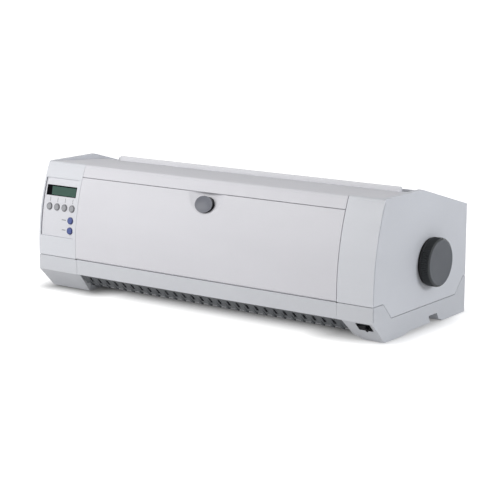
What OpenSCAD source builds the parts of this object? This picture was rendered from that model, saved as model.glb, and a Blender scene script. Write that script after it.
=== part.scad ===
// Wide-carriage dot matrix printer, in millimetres.
// X runs along the platen to the right, Y from the front to the back, Z up from the table.
// Every module draws in a frame with X = 0 midway between the side walls and Y = 0 at the front face;
// placed() then moves it so that the origin is under the middle of the bounding box.

/* [Case] */
// Width of the housing without the knob
case_w = 630; // [600:1:660]
// Depth from the front face to the rear wall
case_d = 263; // [258:1:280]
// Height of the front edge and shoulders above the table
case_h = 206; // [204:1:210]
// Height of the top edge at the rear wall
rear_h = 168; // [164:1:174]
// Wall thickness of the plastic shells
wall = 3; // [2.5:0.1:3.4]
// Radius of the curved front face
front_r = 335; // [300:5:380]
// Height where the front face starts to lean back
curve_z = 70; // [68:1:76]
// Length of the side edge that stays level before it slopes to the rear
peak_y = 131; // [120:1:140]
// Height and depth of the bevel under the front edge
undercut = 34; // [32:1:36]
// Radius along the front top edge
edge_r = 5; // [3:0.5:6]
// Width of the groove beside the front corners
crease = 0.9; // [0.6:0.1:1.2]
// Depth of the groove beside the front corners
crease_d = 1.3; // [0.9:0.1:1.5]
// Width of the seams between shells
seam = 1; // [0.6:0.1:1.2]
// Width of the seam at the right ends of the door and the lip
right_gap = 1.1; // [0.8:0.1:1.4]
// Width of each raised shoulder beside the top cover
shoulder_w = 8; // [7:0.5:10]

/* [Parting line] */
// Height of the seam between upper and lower housing
part_z = 58; // [56:1:60]
// Height of the same seam along the lowered middle of each side
dip_z = 34; // [32:1:38]
// Distance from the front where the seam starts to fall
dip_start = 27; // [24:1:30]
// Run of each sloping stretch of the seam
dip_run = 23; // [18:1:26]
// Distance from the rear wall where the seam is level again
dip_end = 8; // [5:1:10]

/* [Feet] */
// Thickness of the rubber pads
pad_t = 1.5; // [1:0.1:2]
// Width of the left front foot
left_foot_w = 87; // [80:1:92]
// Width of the right front foot
right_foot_w = 51; // [50:1:56]
// Distance from the front to the back of the front feet
foot_back = 82; // [78:1:90]
// Length of the rise behind the front feet
foot_rise = 20; // [10:1:24]
// Clearance under the floor between the feet
floor_z = 5; // [4.5:0.1:6]
// Thickness of the floor between the feet
floor_t = 3; // [2.5:0.1:4]
// Length of the rear feet
rear_foot = 68; // [60:1:74]
// Height of the sloping underside where it meets the intake grille
belly_z = 13.2; // [12:0.1:14]
// Length of the sloping underside behind the grille
belly_run = 22; // [20:1:24]
// Distance of the hand grips from the front
grip_y0 = 154; // [150:1:156]
// Width of the hand grips
grip_w = 25; // [24:1:28]
// Height of the hand grips above the table
grip_z1 = 16; // [15:0.5:18]
// Depth of the hand grips
grip_depth = 16; // [14:1:20]

/* [Intake grille] */
// Width of the grille's ribs
rib_w = 4; // [3:0.5:5]
// Spacing of the ribs
rib_pitch = 16.9; // [15:0.1:19]
// Thickness of the grille
grille_t = 2.5; // [2:0.1:3]
// Depth of the grille's sloping face below the front edge's bevel
grille_drop = 15; // [13:0.5:17]

/* [Door and top cover] */
// Distance of the door from the left side wall
door_left = 78.5; // [77:0.5:81]
// Distance of the door from the right side wall
door_right = 60.5; // [58:0.5:63]
// Height of the lip above the door
lip_h = 20; // [18:0.5:22]
// Radius of the round bead along a hinged edge
bead_r = 3.2; // [3:0.1:3.4]
// Radius of the hinge pins
pin_r = 1.5; // [1.3:0.1:1.6]
// Radial clearance of a running fit
fit = 0.05; // [0.03:0.01:0.08]
// Radius of the finger scoop in the door's top edge
scoop_r = 36.5; // [30:0.5:40]
// Depth of the finger scoop
scoop_depth = 7; // [6:0.5:7.5]
// Fall of the deck from its front edge to its hinge
deck_fall = 9; // [7:0.5:11]
// Distance from the front face to the top cover's hinge
deck_back = 141; // [139:0.5:142]
// Distance of the tear bar's ends from the side walls
tear_end = 47; // [35:1:60]
// Distance of the rear cover's sides from the side walls
hood_side = 30; // [26:1:34]
// Depth of the ledges beside the rear cover below the side edges
ledge_drop = 5; // [4:0.5:6]
// Depth of the tear bar's top edge below the shoulders
tear_drop = 2.5; // [1:0.5:4]

/* [Latch] */
// Width of the oval latch button
latch_w = 31; // [28:1:33]
// Height of the oval latch button
latch_h = 24.5; // [22:0.5:26]
// Distance of the latch button's middle below the door's top edge
latch_drop = 16.5; // [16:0.5:19]
// Middle of the latch and of its scoop along the door
latch_x = 10; // [0:1:20]
// Height of the button above the door's face
latch_proud = 2.5; // [1.5:0.1:3]

/* [Operator panel] */
// Distance of the panel from the left side wall
panel_left = 4; // [3.6:0.1:5]
// Width of the panel
panel_w = 68; // [67:0.5:69]
// Height of the panel
panel_h = 91; // [90:1:94]
// Distance of the panel's upper edge below the shoulders
panel_drop = 25; // [24:1:27]
// Depth of the panel below the face
panel_sink = 2; // [1.5:0.1:2.2]
// Width of the display window
lcd_w = 63; // [60:0.5:63.5]
// Height of the display window
lcd_h = 17; // [14:0.5:17.5]
// Distance of the window's middle below the panel's upper edge
lcd_drop = 19; // [18:0.5:21]
// Diameter of the round keys
key_d = 11; // [10:0.5:11.5]
// Spacing of the grey keys
key_pitch = 16; // [15:0.1:16.2]
// Distance of the row of grey keys below the panel's upper edge
key_drop = 44.4; // [43:0.1:47]
// Travel of a key
key_travel = 1; // [0.5:0.1:1.2]
// Distance of the upper blue key below the row of grey keys
blue_drop = 18.6; // [17.6:0.1:19.6]
// Spacing of the two blue keys
blue_pitch = 16; // [15:0.5:17]

/* [Platen and knob] */
// Distance of the platen's axis from the front
platen_y = 155; // [154:0.5:156]
// Height of the platen's axis
platen_z = 98; // [97:0.5:99]
// Radius of the platen roller
platen_r = 18; // [16:0.5:18.5]
// Distance of the roller's ends from the side frames
platen_end = 10; // [8:1:18]
// Radius of the platen shaft
shaft_r = 5; // [4.5:0.1:5.5]
// Radius of the knob
knob_r = 36; // [34:0.5:38]
// Distance that the knob stands out of the side wall
knob_out = 19; // [16:0.5:22]
// Clearance round the knob in its recess
recess_gap = 1; // [0.8:0.1:5]
// Depth of the recess behind the knob
recess_d = 5; // [4:0.5:8]

/* [Print mechanism] */
// Distance of the side frames from the door's left edge
frame_in = 0.5; // [0.5:0.5:3]
// Thickness of the side frames
frame_t = 2; // [1.5:0.1:2.5]
// Radius of the carriage shaft
guide_r = 6; // [5:0.1:6.5]
// Distance of the carriage shaft from the front
guide_y = 92; // [91:0.5:93]
// Height of the carriage shaft
guide_z = 66; // [65:0.5:67]
// Radius of the belt pulleys, to the belt's inner face
pulley_r = 8; // [7:0.1:8.5]
// Distance of each pulley's axis from its side frame
pulley_in = 24; // [23:1:28]
// Module of the gear teeth
tooth_m = 1.25; // [1.2:0.01:1.3]
// Teeth of the platen gear
platen_teeth = 48; // [47:1:49]
// Teeth of the idler gear
idler_teeth = 32; // [31:1:33]
// Teeth of the tractor gear
tractor_teeth = 24; // [23:1:25]
// Teeth of the motor pinion
pinion_teeth = 12; // [12:1:13]
// Face width of the gears
gear_w = 8; // [6:0.5:9]

/* [Tractors] */
// Distance of the tractor shaft from the rear wall
tractor_back = 48; // [46:0.5:50]
// Height of the tractor shaft
tractor_z = 128; // [126:0.5:130]
// Radius of the tractor shaft
tractor_r = 4; // [3.5:0.1:4.5]
// Distance of each tractor from the middle
tractor_x = 150; // [120:1:160]
// Width of a tractor
tractor_w = 24; // [22:1:28]
// Radius of the support shaft
support_r = 3; // [2.5:0.1:3.2]

/* [Hidden] */
$fn = 64;
curve_fn = 256;
eps = 0.01;
air = 0.3; // clearance between loose neighbours
gap = 0.5; // clearance round covers
half_w = case_w / 2;
foot_top = floor_z + floor_t; // upper face of the floor
door_x0 = -half_w + door_left; // edges of the door
door_x1 = half_w - door_right;
door_z1 = case_h - lip_h;
latch_z = door_z1 - latch_drop;
tear_half = half_w - tear_end;
tear_z = case_h - tear_drop;
panel_x0 = -half_w + panel_left; // edges of the operator panel
panel_x1 = panel_x0 + panel_w;
panel_z1 = case_h - panel_drop;
panel_z0 = panel_z1 - panel_h;
face_mid_z = (panel_z0 + panel_z1) / 2;
lcd_z = panel_z1 - lcd_drop;
key_z = panel_z1 - key_drop;
blue_z = key_z - blue_drop;
frame_half = -door_x0 - frame_in; // outer faces of the side frames
platen_len = 2 * (frame_half - frame_t - platen_end);
pulley_x = frame_half - pulley_in;
tractor_y = case_d - tractor_back;

// Distance of the front face behind the front plane, and its lean, at a height.
function front_y(z) = z <= curve_z ? 0 : front_r - sqrt(front_r * front_r - (z - curve_z) * (z - curve_z));
function front_lean(z) = z <= curve_z ? 0 : asin((z - curve_z) / front_r);
edge_y = front_y(case_h); // the front top edge
panel_lean = front_lean(face_mid_z);
deck_slope = deck_fall / (deck_back - edge_y);
function deck_z(y) = case_h - (y - edge_y) * deck_slope;
side_slope = (case_h - rear_h) / (case_d - peak_y);
function side_z(y) = y < peak_y ? case_h : case_h - (y - peak_y) * side_slope;

// Children are drawn with X = Y and Y = Z, and run along X from x0 to x1.
module along_x(x0, x1) translate([x0, 0, 0]) rotate([90, 0, 90]) linear_extrude(x1 - x0) children();
// A box from one corner to the opposite one.
module block(a, b) translate(a) cube(b - a);
// A rod along X.
module rod_x(x0, x1, y, z, r) translate([x0, y, z]) rotate([0, 90, 0]) cylinder(r = r, h = x1 - x0);
// A frame on the front face at a height, with Z outwards; the second keeps the panel's lean.
module on_face(x, z) translate([x, front_y(z), z]) rotate([90 - front_lean(z), 0, 0]) children();
module on_panel(x, z) translate([x, front_y(z), z]) rotate([90 - panel_lean, 0, 0]) children();
// A frame on the bevel under the front edge, with Z outwards and Y up the slope.
module on_bevel(x, y) translate([x, y, undercut - y]) rotate([135, 0, 0]) children();
// The area behind the front face, between two heights, as far back as a given distance.
module behind_face(inset, z0, z1, back) {
    low = min(curve_z, z1);
    if (z0 < low) translate([inset, z0]) square([back - inset, low - z0]);
    if (z1 > curve_z) intersection() {
        translate([0, max(curve_z - eps, z0)]) square([back, z1 - max(curve_z - eps, z0)]);
        translate([front_r, curve_z]) circle(r = front_r - inset, $fn = curve_fn);
    }
}
// A curved sheet that follows the front face.
module face_sheet(inset, t, z0, z1) difference() {
    behind_face(inset, z0, z1, case_d / 2);
    behind_face(inset + t, z0 - 1, z1 + 1, case_d / 2 + 1);
}
module placed() translate([-knob_out / 2, -case_d / 2, 0]) children();

// ---------- housing ----------
shell_color = [0.78, 0.79, 0.81];
foot_inner_l = -half_w + left_foot_w; // inner faces of the front feet
foot_inner_r = half_w - right_foot_w;
foot_flare = 17; // width of the right foot's rounding at the table
foot_wall = 13; // thickness of the feet's inner sides
sill_x0 = door_x0 + 2; // ends of the sill strip
sill_x1 = door_x1 + 0.5;
sill_top = part_z - seam / 2;
shelf_t = 3; // shelf behind the sill
sill_depth = wall;
recess_r = knob_r + recess_gap;
knob_x = half_w - recess_d; // floor of the knob's recess
shaft_hole = shaft_r + 1;
well_x = half_w - shoulder_w; // inner faces of the shoulders
cover_x = well_x - gap; // ends of the top cover
well_floor = rear_h - 22;
shoulder_h = 20; // height of the shoulders' inner walls
hood_x = half_w - hood_side; // ends of the rear cover
ledge_x = hood_x + gap; // inner faces of the ledges beside it
front_gap_y = edge_y + wall + gap; // front edge of the wide part of the deck
jamb_back = 50;
jamb_top = 180;
rail_y0 = deck_back + bead_r + 1 + gap; // bridge that carries the tear bar
rail_y1 = rail_y0 + 8;
tear_t = 5;
tear_seat = tear_z - 7.5;
slot_w = 9; // paper slot behind the tear bar
rear_cover_y0 = rail_y1 + slot_w;
rear_pivot_y = case_d - wall - 2 * gap - bead_r - 1;
cover_rise = 1.5; // the rear cover stands this far above the side edges
skirt_h = 10; // height of the rear cover's edges
rear_pivot_z = ledge_z(rear_pivot_y) - pin_r - 2;
door_pivot_y = bead_r;
door_pivot_z = part_z + bead_r;
lid_bead = bead_r + 0.8; // beads of the two top covers
pin_in = 6; // depth of a hinge pin in its cover
inlet_x = frame_half - 56; // mains inlet in the rear wall
inlet_w = 28;
inlet_z = 18;
inlet_h = 24;
data_x = -frame_half + 46; // data connector in the rear wall
data_w = 66;
data_h = 18;
grip_lean = 9; // the grips' ends lean back by this much towards the table
grip_wall = 2;
feed_half = frame_half - 10; // rear paper inlet
feed_z0 = 66;
feed_h = 16;
switch_x = half_w - (right_foot_w - foot_flare) / 2 - 0.25; // power switch on the right front foot
switch_y = 6.75;
switch_w = 22.5;
switch_h = 15;
screw_r = 1.5;
post_r = 4;

// What the rounding takes off the front top edge, seen from the side.
round_z = case_h - edge_r;
round_y = front_r - sqrt((front_r - edge_r) * (front_r - edge_r) - (round_z - curve_z) * (round_z - curve_z));
module edge_waste() difference() {
    translate([0, round_z]) square([round_y, edge_r + 1]);
    translate([round_y, round_z]) circle(r = edge_r);
}
// The side view of the whole case, with the lean of the front face.
module case_side(inset, bottom) difference() {
    intersection() {
        polygon([[inset, bottom], [inset, case_h - inset], [peak_y, case_h - inset],
            [case_d - inset, rear_h - inset], [case_d - inset, bottom]]);
        behind_face(inset, bottom - 1, case_h + 1, case_d);
    }
    if (inset == 0) edge_waste();
}
// The seam between the two housings, seen from the side.
function seam_line(shift) = [[-1, part_z + shift], [dip_start, part_z + shift],
    [dip_start + dip_run, dip_z + shift], [case_d - dip_end - dip_run, dip_z + shift],
    [case_d - dip_end, part_z + shift], [case_d + 1, part_z + shift]];
module above_seam() polygon(concat(seam_line(seam / 2), [[case_d + 1, case_h + 1], [-1, case_h + 1]]));
module below_seam() polygon(concat(seam_line(-seam / 2), [[case_d + 1, -1], [-1, -1]]));
module lower_side() intersection() {
    below_seam();
    polygon(concat([[0, undercut], [undercut - pad_t, pad_t]], foot_heel, [
        [case_d - rear_foot - 5, floor_z], [case_d - rear_foot, pad_t], [case_d, pad_t],
        [case_d, part_z], [0, part_z]]));
}
// The soft rise behind the front feet.
foot_heel = [for (a = [0:30:180]) [foot_back + foot_rise * a / 180,
    pad_t + (floor_z - pad_t) * (1 - cos(a)) / 2]];
foot_end = foot_back + foot_rise;
frame_foot_y = undercut + belly_run + 8; // front ends of the side frames' flanges
// Places along the floor where the side frames are screwed down: [x, y].
screw_at = [for (x = [-frame_half + 8, frame_half - 8]) for (y = [frame_foot_y + 12, tractor_y + 10]) [x, y]];

// The groove beside each front corner, between two heights.
module corner_grooves(z0, z1) for (x = [-half_w - 1, half_w - crease_d]) along_x(x, x + 1 + crease_d)
    face_sheet(crease_d, crease, z0, z1);

module base_housing() color(shell_color) difference() {
    union() {
        difference() {
            along_x(-half_w, half_w) lower_side();
            along_x(-half_w + wall, half_w - wall) polygon([[wall, undercut + shelf_t],
                [undercut + wall, undercut + shelf_t], [undercut + wall, foot_top],
                [case_d - wall, foot_top], [case_d - wall, case_h], [wall, case_h]]);
            foot_hollow(-half_w + wall, foot_inner_l - foot_wall);
            foot_hollow(foot_inner_r + foot_wall + 7, half_w - wall);
        }
        for (x = [board_x + 46, board_x + board_w - 46]) for (y = [board_y + 14, board_y + board_l - 14])
            translate([x, y, foot_top - eps]) cylinder(r = post_r, h = board_gap + eps);
        // sloping floor behind the grille
        along_x(foot_inner_l - foot_wall, foot_inner_r + foot_flare + wall) polygon([[undercut, floor_z],
            [undercut, belly_z + floor_t + 0.3], [undercut + belly_run + 1, foot_top],
            [undercut + belly_run + 1, floor_z]]);
        // pockets of the hand grips
        for (x = [-half_w + wall - eps, half_w - grip_depth - grip_wall])
            along_x(x, x + grip_depth + grip_wall - wall + eps) difference() {
                grip_side(grip_wall);
                translate([0, -floor_z]) square([case_d, foot_top + floor_z - eps]);
            }
    }
    // the middle of the front, between the feet
    translate([0, undercut, 0]) rotate([90, 0, 0]) linear_extrude(undercut + 1)
        polygon([[foot_inner_l, undercut], [foot_inner_l - 10, 0], [foot_inner_l - 10, -1],
            [foot_inner_r + foot_flare, -1], [foot_inner_r + foot_flare, 0], [foot_inner_r + 4, 10],
            [foot_inner_r, undercut]]);
    along_x(foot_inner_l - 10, foot_inner_r + foot_flare)
        polygon([[undercut - 1, -1], [undercut - 1, belly_z],
        [undercut, belly_z], [undercut + belly_run, floor_z], [foot_end, floor_z], [foot_end, -1]]);
    block([sill_x0 - 0.3, -1, undercut - eps], [sill_x1 + 0.3, sill_depth, part_z]);
    corner_grooves(undercut + 3, part_z);
    // side grips
    for (x = [-half_w - 1, half_w - grip_depth]) along_x(x, x + grip_depth + 1) grip_side(0);
    // openings for the switch, the inlet and the data connector
    on_bevel(switch_x, switch_y) translate([-switch_w / 2 + 1, -switch_h / 2 + 1, -20])
        cube([switch_w - 2, switch_h - 2, 21]);
    block([inlet_x, case_d - wall - 1, inlet_z], [inlet_x + inlet_w, case_d + 1, inlet_z + inlet_h]);
    block([data_x, case_d - wall - 1, inlet_z], [data_x + data_w, case_d + 1, inlet_z + data_h]);
    for (p = screw_at) translate([p[0], p[1], foot_top - floor_t - 4]) cylinder(r = screw_r, h = 10);
    // air slots in the floor
    for (i = [0:8]) block([-60 + i * 14, 100, -1], [-54 + i * 14, 124, foot_top + 1]);
}
// A hand grip seen from the side.
module grip_side(grow) polygon([[grip_y0 + grip_lean + 1 - grow, -1], [grip_y0 - grow, grip_z1 + grow],
    [grip_y0 + grip_w + grow, grip_z1 + grow], [grip_y0 + grip_w + grip_lean + 1 + grow, -1]]);
module foot_hollow(x0, x1) along_x(x0, x1) polygon([[wall, undercut + 1.3], [undercut - pad_t, foot_top],
    [undercut + wall + 1, foot_top], [undercut + wall + 1, undercut + 4], [wall, undercut + 4]]);

module front_sill() color([0.76, 0.77, 0.79]) along_x(sill_x0, sill_x1) polygon([[0, undercut],
    [sill_depth, undercut], [sill_depth, sill_top - 6], [undercut, sill_top - 10], [undercut, sill_top - 7],
    [7.5, sill_top - 3], [sill_depth, sill_top], [0, sill_top]]);

grille_x0 = foot_inner_l + 0.5;
grille_x1 = foot_inner_r - 0.5;
rib_n = floor((grille_x1 - grille_x0 - rib_w) / rib_pitch);
rib_x0 = (grille_x0 + grille_x1 - rib_n * rib_pitch) / 2; // middle of the first rib
grille_z = undercut - grille_drop; // lower edge of the grille's sloping face
lip_y = grille_drop + 1;
rib_gap_w = 5; // width of the slots between the ribs
// A sloping plate under the sill, which turns back along the underside to the base.
module intake_grille() color([0.32, 0.33, 0.35]) {
    difference() {
        along_x(grille_x0, grille_x1) polygon([[1, undercut], [lip_y, grille_z], [undercut, belly_z],
            [undercut, belly_z + grille_t], [lip_y + 1, grille_z + grille_t],
                [1 + grille_t * sqrt(2), undercut]]);
        for (i = [0:rib_n - 1]) translate([rib_x0 + (i + 0.5) * rib_pitch, lip_y, grille_z])
            rotate([45, 0, 0]) translate([-rib_gap_w / 2, -grille_t, 2 * grille_t])
                cube([rib_gap_w, 3 * grille_t, grille_drop - 3]);
    }
    for (i = [0:rib_n]) along_x(rib_x0 + i * rib_pitch - rib_w / 2, rib_x0 + i * rib_pitch + rib_w / 2)
        polygon([[2, undercut], [4, undercut], [lip_y + 1, grille_z + grille_t - 0.5],
            [lip_y + 6, grille_z - 1],
            [lip_y + 4.5, grille_z - 4], [lip_y + 0.5, grille_z - 2.2]]);
}

module rubber_feet() color([0.12, 0.12, 0.13]) {
    block([-half_w + 10, undercut + 8, 0], [foot_inner_l - 18, foot_back - 6, pad_t]);
    block([foot_inner_r + 21, undercut + 8, 0], [half_w - 5, foot_back - 6, pad_t]);
    for (x = [-half_w + 10, half_w - 50])
        block([x, case_d - rear_foot + 10, 0], [x + 40, case_d - 12, pad_t]);
}

module upper_housing() color(shell_color) difference() {
    union() {
        difference() {
            along_x(-half_w, half_w) intersection() {
                case_side(0, 0);
                above_seam();
            }
            along_x(-half_w + wall, half_w - wall) case_side(wall, -1);
            // front opening for the door and the lip of the top cover
            block([door_x0 - gap, -1, 0], [door_x1 + right_gap, edge_y + wall, case_h + 1]);
            // well for the two top covers
            block([-well_x, edge_y + wall, well_floor], [well_x, case_d - wall, case_h + 1]);
            // the rear wall is lower between the shoulders
            along_x(-well_x, well_x) above_ledge();
            block([-ledge_x, case_d - wall - 1, rear_pivot_z - 2], [ledge_x, case_d + 1, case_h + 1]);
        }
        // inner walls of the shoulders
        for (x = [-well_x - wall, well_x]) along_x(x, x + wall) difference() {
            case_side(wall - eps, well_floor);
            polygon([[-1, case_h - shoulder_h], [peak_y, case_h - shoulder_h], [case_d + 1,
                side_z(case_d + 1) - shoulder_h], [case_d + 1, 0], [-1, 0]]);
        }
        // jambs beside the door
        for (x = [door_x0 - gap - wall, door_x1 + right_gap])
            along_x(x, x + wall) behind_face(wall - eps, part_z + seam / 2, jamb_top, jamb_back);
        // ledges beside the rear cover
        for (side = [-1, 1]) {
            along_x(side > 0 ? ledge_x : wall - half_w - eps, side > 0 ? half_w - wall + eps : -ledge_x)
                ledge_side(wall);
            along_x(side > 0 ? ledge_x : -ledge_x - wall, side > 0 ? ledge_x + wall : -ledge_x)
                ledge_side(ledge_h);
        }
        // bridge under the tear bar
        block([-well_x - eps, rail_y0, tear_seat - 8], [well_x + eps, rail_y1, tear_seat]);
        // cup behind the knob
        rod_x(knob_x - wall, half_w - wall + eps, platen_y, platen_z, recess_r + 2);
    }
    rod_x(knob_x, half_w + 1, platen_y, platen_z, recess_r);
    rod_x(knob_x - wall - 1, knob_x + 1, platen_y, platen_z, shaft_hole);
    corner_grooves(part_z, case_h - edge_r);
    // window for the operator panel
    along_x(-half_w + wall, panel_x1 + air) behind_face(-1, panel_z0 - air, panel_z1 + air, undercut);
    // rear paper inlet
    block([-feed_half, case_d - wall - 1, feed_z0], [feed_half, case_d + 1, feed_z0 + feed_h]);
    // holes for the hinge pins
    rod_x(door_x0 - gap - wall - 1, door_x0, door_pivot_y, door_pivot_z, pin_r);
    rod_x(door_x1, door_x1 + right_gap + wall + 1, door_pivot_y, door_pivot_z, pin_r);
    rod_x(-well_x - wall - 1, well_x + wall + 1, deck_back, deck_pivot_z, pin_r);
    rod_x(-ledge_x - wall - 1, ledge_x + wall + 1, rear_pivot_y, rear_pivot_z, pin_r);
}
deck_pivot_z = deck_z(deck_back) - lid_bead;
ledge_h = 22; // height of the walls under the ledges
function ledge_z(y) = side_z(y) - ledge_drop;
ledge_y0 = rail_y1 - 1; // ends of the ledges
ledge_y1 = case_d - wall + eps;
module ledge_side(h) polygon([[ledge_y0, ledge_z(ledge_y0)], [ledge_y1, ledge_z(ledge_y1)],
    [ledge_y1, ledge_z(ledge_y1) - h], [ledge_y0, ledge_z(ledge_y0) - h]]);
module above_ledge() polygon([[case_d - wall - 1, ledge_z(case_d - wall - 1)], [case_d - wall - 1, case_h],
    [case_d + 1, case_h], [case_d + 1, ledge_z(case_d + 1)]]);

// Six steel pins, fixed in the housing; the covers turn on their inner ends.
module hinge_pins() color([0.6, 0.6, 0.62]) {
    rod_x(door_x0 - gap - wall, door_x0 + pin_in, door_pivot_y, door_pivot_z, pin_r);
    rod_x(door_x1 - pin_in, door_x1 + right_gap + wall, door_pivot_y, door_pivot_z, pin_r);
    rod_x(-well_x - wall, -cover_x + pin_in, deck_back, deck_pivot_z, pin_r);
    rod_x(cover_x - pin_in, well_x + wall, deck_back, deck_pivot_z, pin_r);
    rod_x(-ledge_x - wall, -hood_x + pin_in, rear_pivot_y, rear_pivot_z, pin_r);
    rod_x(hood_x - pin_in, ledge_x + wall, rear_pivot_y, rear_pivot_z, pin_r);
}
// Running bores for a pair of hinge pins between x0 and x1.
module pin_bores(x0, x1, y, z) {
    rod_x(x0 - 1, x0 + pin_in + 0.5, y, z, pin_r + fit);
    rod_x(x1 - pin_in - 0.5, x1 + 1, y, z, pin_r + fit);
}

module top_cover() color([0.8, 0.81, 0.82]) difference() {
    union() {
        // lip above the door, and the deck behind it
        along_x(door_x0, door_x1) difference() {
            intersection() {
                behind_face(0, door_z1 + seam, case_h + 1, deck_back);
                polygon([[0, 0], [0, case_h], [edge_y, case_h], [deck_back, deck_z(deck_back)],
                    [deck_back, 0]]);
            }
            edge_waste();
            intersection() {
                behind_face(wall, 0, case_h + 1, deck_back + 1);
                polygon([[0, -1], [0, case_h - wall], [edge_y, case_h - wall],
                    [deck_back + 1, deck_z(deck_back + 1) - wall], [deck_back + 1, -1]]);
            }
        }
        along_x(-cover_x, cover_x)
            polygon([[front_gap_y, deck_z(front_gap_y)], [deck_back, deck_z(deck_back)],
            [deck_back, deck_z(deck_back) - wall], [front_gap_y, deck_z(front_gap_y) - wall]]);
        for (x = [-cover_x, cover_x - wall]) along_x(x, x + wall)
            polygon([[front_gap_y, deck_z(front_gap_y) - 1],
            [deck_back, deck_z(deck_back) - 1], [deck_back, deck_z(deck_back) - 9],
            [front_gap_y, deck_z(front_gap_y) - 9]]);
        rod_x(-cover_x, cover_x, deck_back, deck_pivot_z, lid_bead);
    }
    pin_bores(-cover_x, cover_x, deck_back, deck_pivot_z);
}

module rear_cover() color([0.78, 0.79, 0.81]) difference() {
    z0 = side_z(rear_cover_y0) + cover_rise;
    z1 = side_z(rear_pivot_y) + cover_rise;
    union() {
        along_x(-hood_x, hood_x) polygon([[rear_cover_y0, z0 - wall], [rear_cover_y0, z0],
            [rear_pivot_y, z1], [rear_pivot_y, z1 - wall]]);
        along_x(-hood_x, hood_x) polygon([[rear_cover_y0, z0 - skirt_h], [rear_cover_y0, z0 - 1],
            [rear_cover_y0 + wall, z0 - 1 - wall * side_slope], [rear_cover_y0 + wall, z0 - skirt_h]]);
        for (x = [-hood_x, hood_x - wall]) along_x(x, x + wall) polygon([[rear_cover_y0, z0 - skirt_h],
            [rear_cover_y0, z0 - 1], [rear_pivot_y, z1 - 1], [rear_pivot_y, z1 - skirt_h]]);
        // the rear edge turns down to the hinge bead
        along_x(-hood_x, hood_x)
            polygon([[rear_pivot_y - wall / 2, rear_pivot_z], [rear_pivot_y - wall / 2, z1 - 1],
            [rear_pivot_y, z1], [rear_pivot_y + wall / 2, z1 - 1], [rear_pivot_y + wall / 2, rear_pivot_z]]);
        rod_x(-hood_x, hood_x, rear_pivot_y, rear_pivot_z, lid_bead);
    }
    pin_bores(-hood_x, hood_x, rear_pivot_y, rear_pivot_z);
}

module tear_bar() color([0.86, 0.86, 0.88]) along_x(-tear_half, tear_half) polygon([[rail_y0 + 1, tear_seat],
    [rail_y0 + 1, tear_z - 1], [rail_y0 + 2, tear_z], [rail_y0 + tear_t, tear_z],
        [rail_y0 + tear_t + 1, tear_z - 1],
    [rail_y0 + tear_t + 1, tear_seat]]);

// ---------- door and latch ----------
dish_r = (scoop_r * scoop_r + scoop_depth * scoop_depth) / (2 * scoop_depth);
// The door clears the lip inside this radius from its pins.
swing_r = norm([front_y(door_z1 + seam) - door_pivot_y, door_z1 + seam - door_pivot_z]) - air;
flange_d = -12; // plane of the latch's flange, from the face
tongue_w = 12;
// Both halves of an oval with its long side across.
module oval(grow) polygon([for (a = [0:6:354]) [(latch_w / 2 + grow) * cos(a),
    (latch_h / 2 + grow) * sin(a)]]);
module dish(grow) on_face(latch_x, door_z1) translate([0, 0, dish_r - scoop_depth])
    sphere(r = dish_r + grow, $fn = 128);

module front_door() color([0.82, 0.82, 0.84]) difference() {
    union() {
        along_x(door_x0, door_x1) {
            face_sheet(0, wall, door_pivot_z, door_z1);
            intersection() {
                translate([bead_r, door_pivot_z]) circle(r = bead_r);
                translate([0, door_pivot_z - bead_r]) square([2 * bead_r, 2 * bead_r]);
            }
        }
        // backing of the finger scoop
        intersection() {
            dish(wall);
            on_face(latch_x, door_z1) translate([0, 0, -20]) cylinder(r = scoop_r + 2, h = 22);
            along_x(latch_x - 50, latch_x + 50) behind_face(1, door_z1 - 50, door_z1, undercut + 10);
            rod_x(latch_x - 60, latch_x + 60, door_pivot_y, door_pivot_z, swing_r);
        }
        // stiffening ribs inside
        for (x = [door_x0 + 40, door_x1 - 43]) along_x(x, x + wall)
            face_sheet(wall - eps, 5, door_pivot_z + 8, door_z1 - 6);
    }
    intersection() {
        dish(0);
        on_face(latch_x, door_z1) translate([0, 0, -20]) cylinder(r = scoop_r + 1, h = 40);
    }
    on_face(latch_x, latch_z) translate([0, 0, -20]) linear_extrude(30) oval(0.4);
    pin_bores(door_x0, door_x1, door_pivot_y, door_pivot_z);
}

module latch_button() color([0.46, 0.47, 0.5]) on_face(latch_x, latch_z) difference() {
    union() {
        translate([0, 0, flange_d]) linear_extrude(latch_proud - flange_d) oval(0);
        translate([0, 0, flange_d - 1.5]) linear_extrude(1.5) oval(1.5);
        // tongue of the push catch, in the front crossbar's slot
        translate([-tongue_w / 2, 4, flange_d - 9]) cube([tongue_w, 3, 9]);
    }
    translate([0, 0, latch_proud + 40 - 2.2]) sphere(r = 40, $fn = 96);
}

// ---------- operator panel ----------
panel_t = 2.5;
flange_t = 1.5; // the panel's rim bears on the wall's inner face
function sag_z(z) = front_r * (1 - cos(front_lean(z) - panel_lean)); // depth below the panel's flat frame
board_d = -15; // front of the panel board, below the flat frame
module key_hole(x, z, r) on_panel(x, z) translate([0, 0, -12]) cylinder(r = r, h = 20);
key_x = [for (i = [0:3]) panel_x1 - 7 - i * key_pitch];
blue_x = panel_x1 - 8;
key_hole_r = key_d / 2 + air;
boss_x = panel_x0 + 12;

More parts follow.
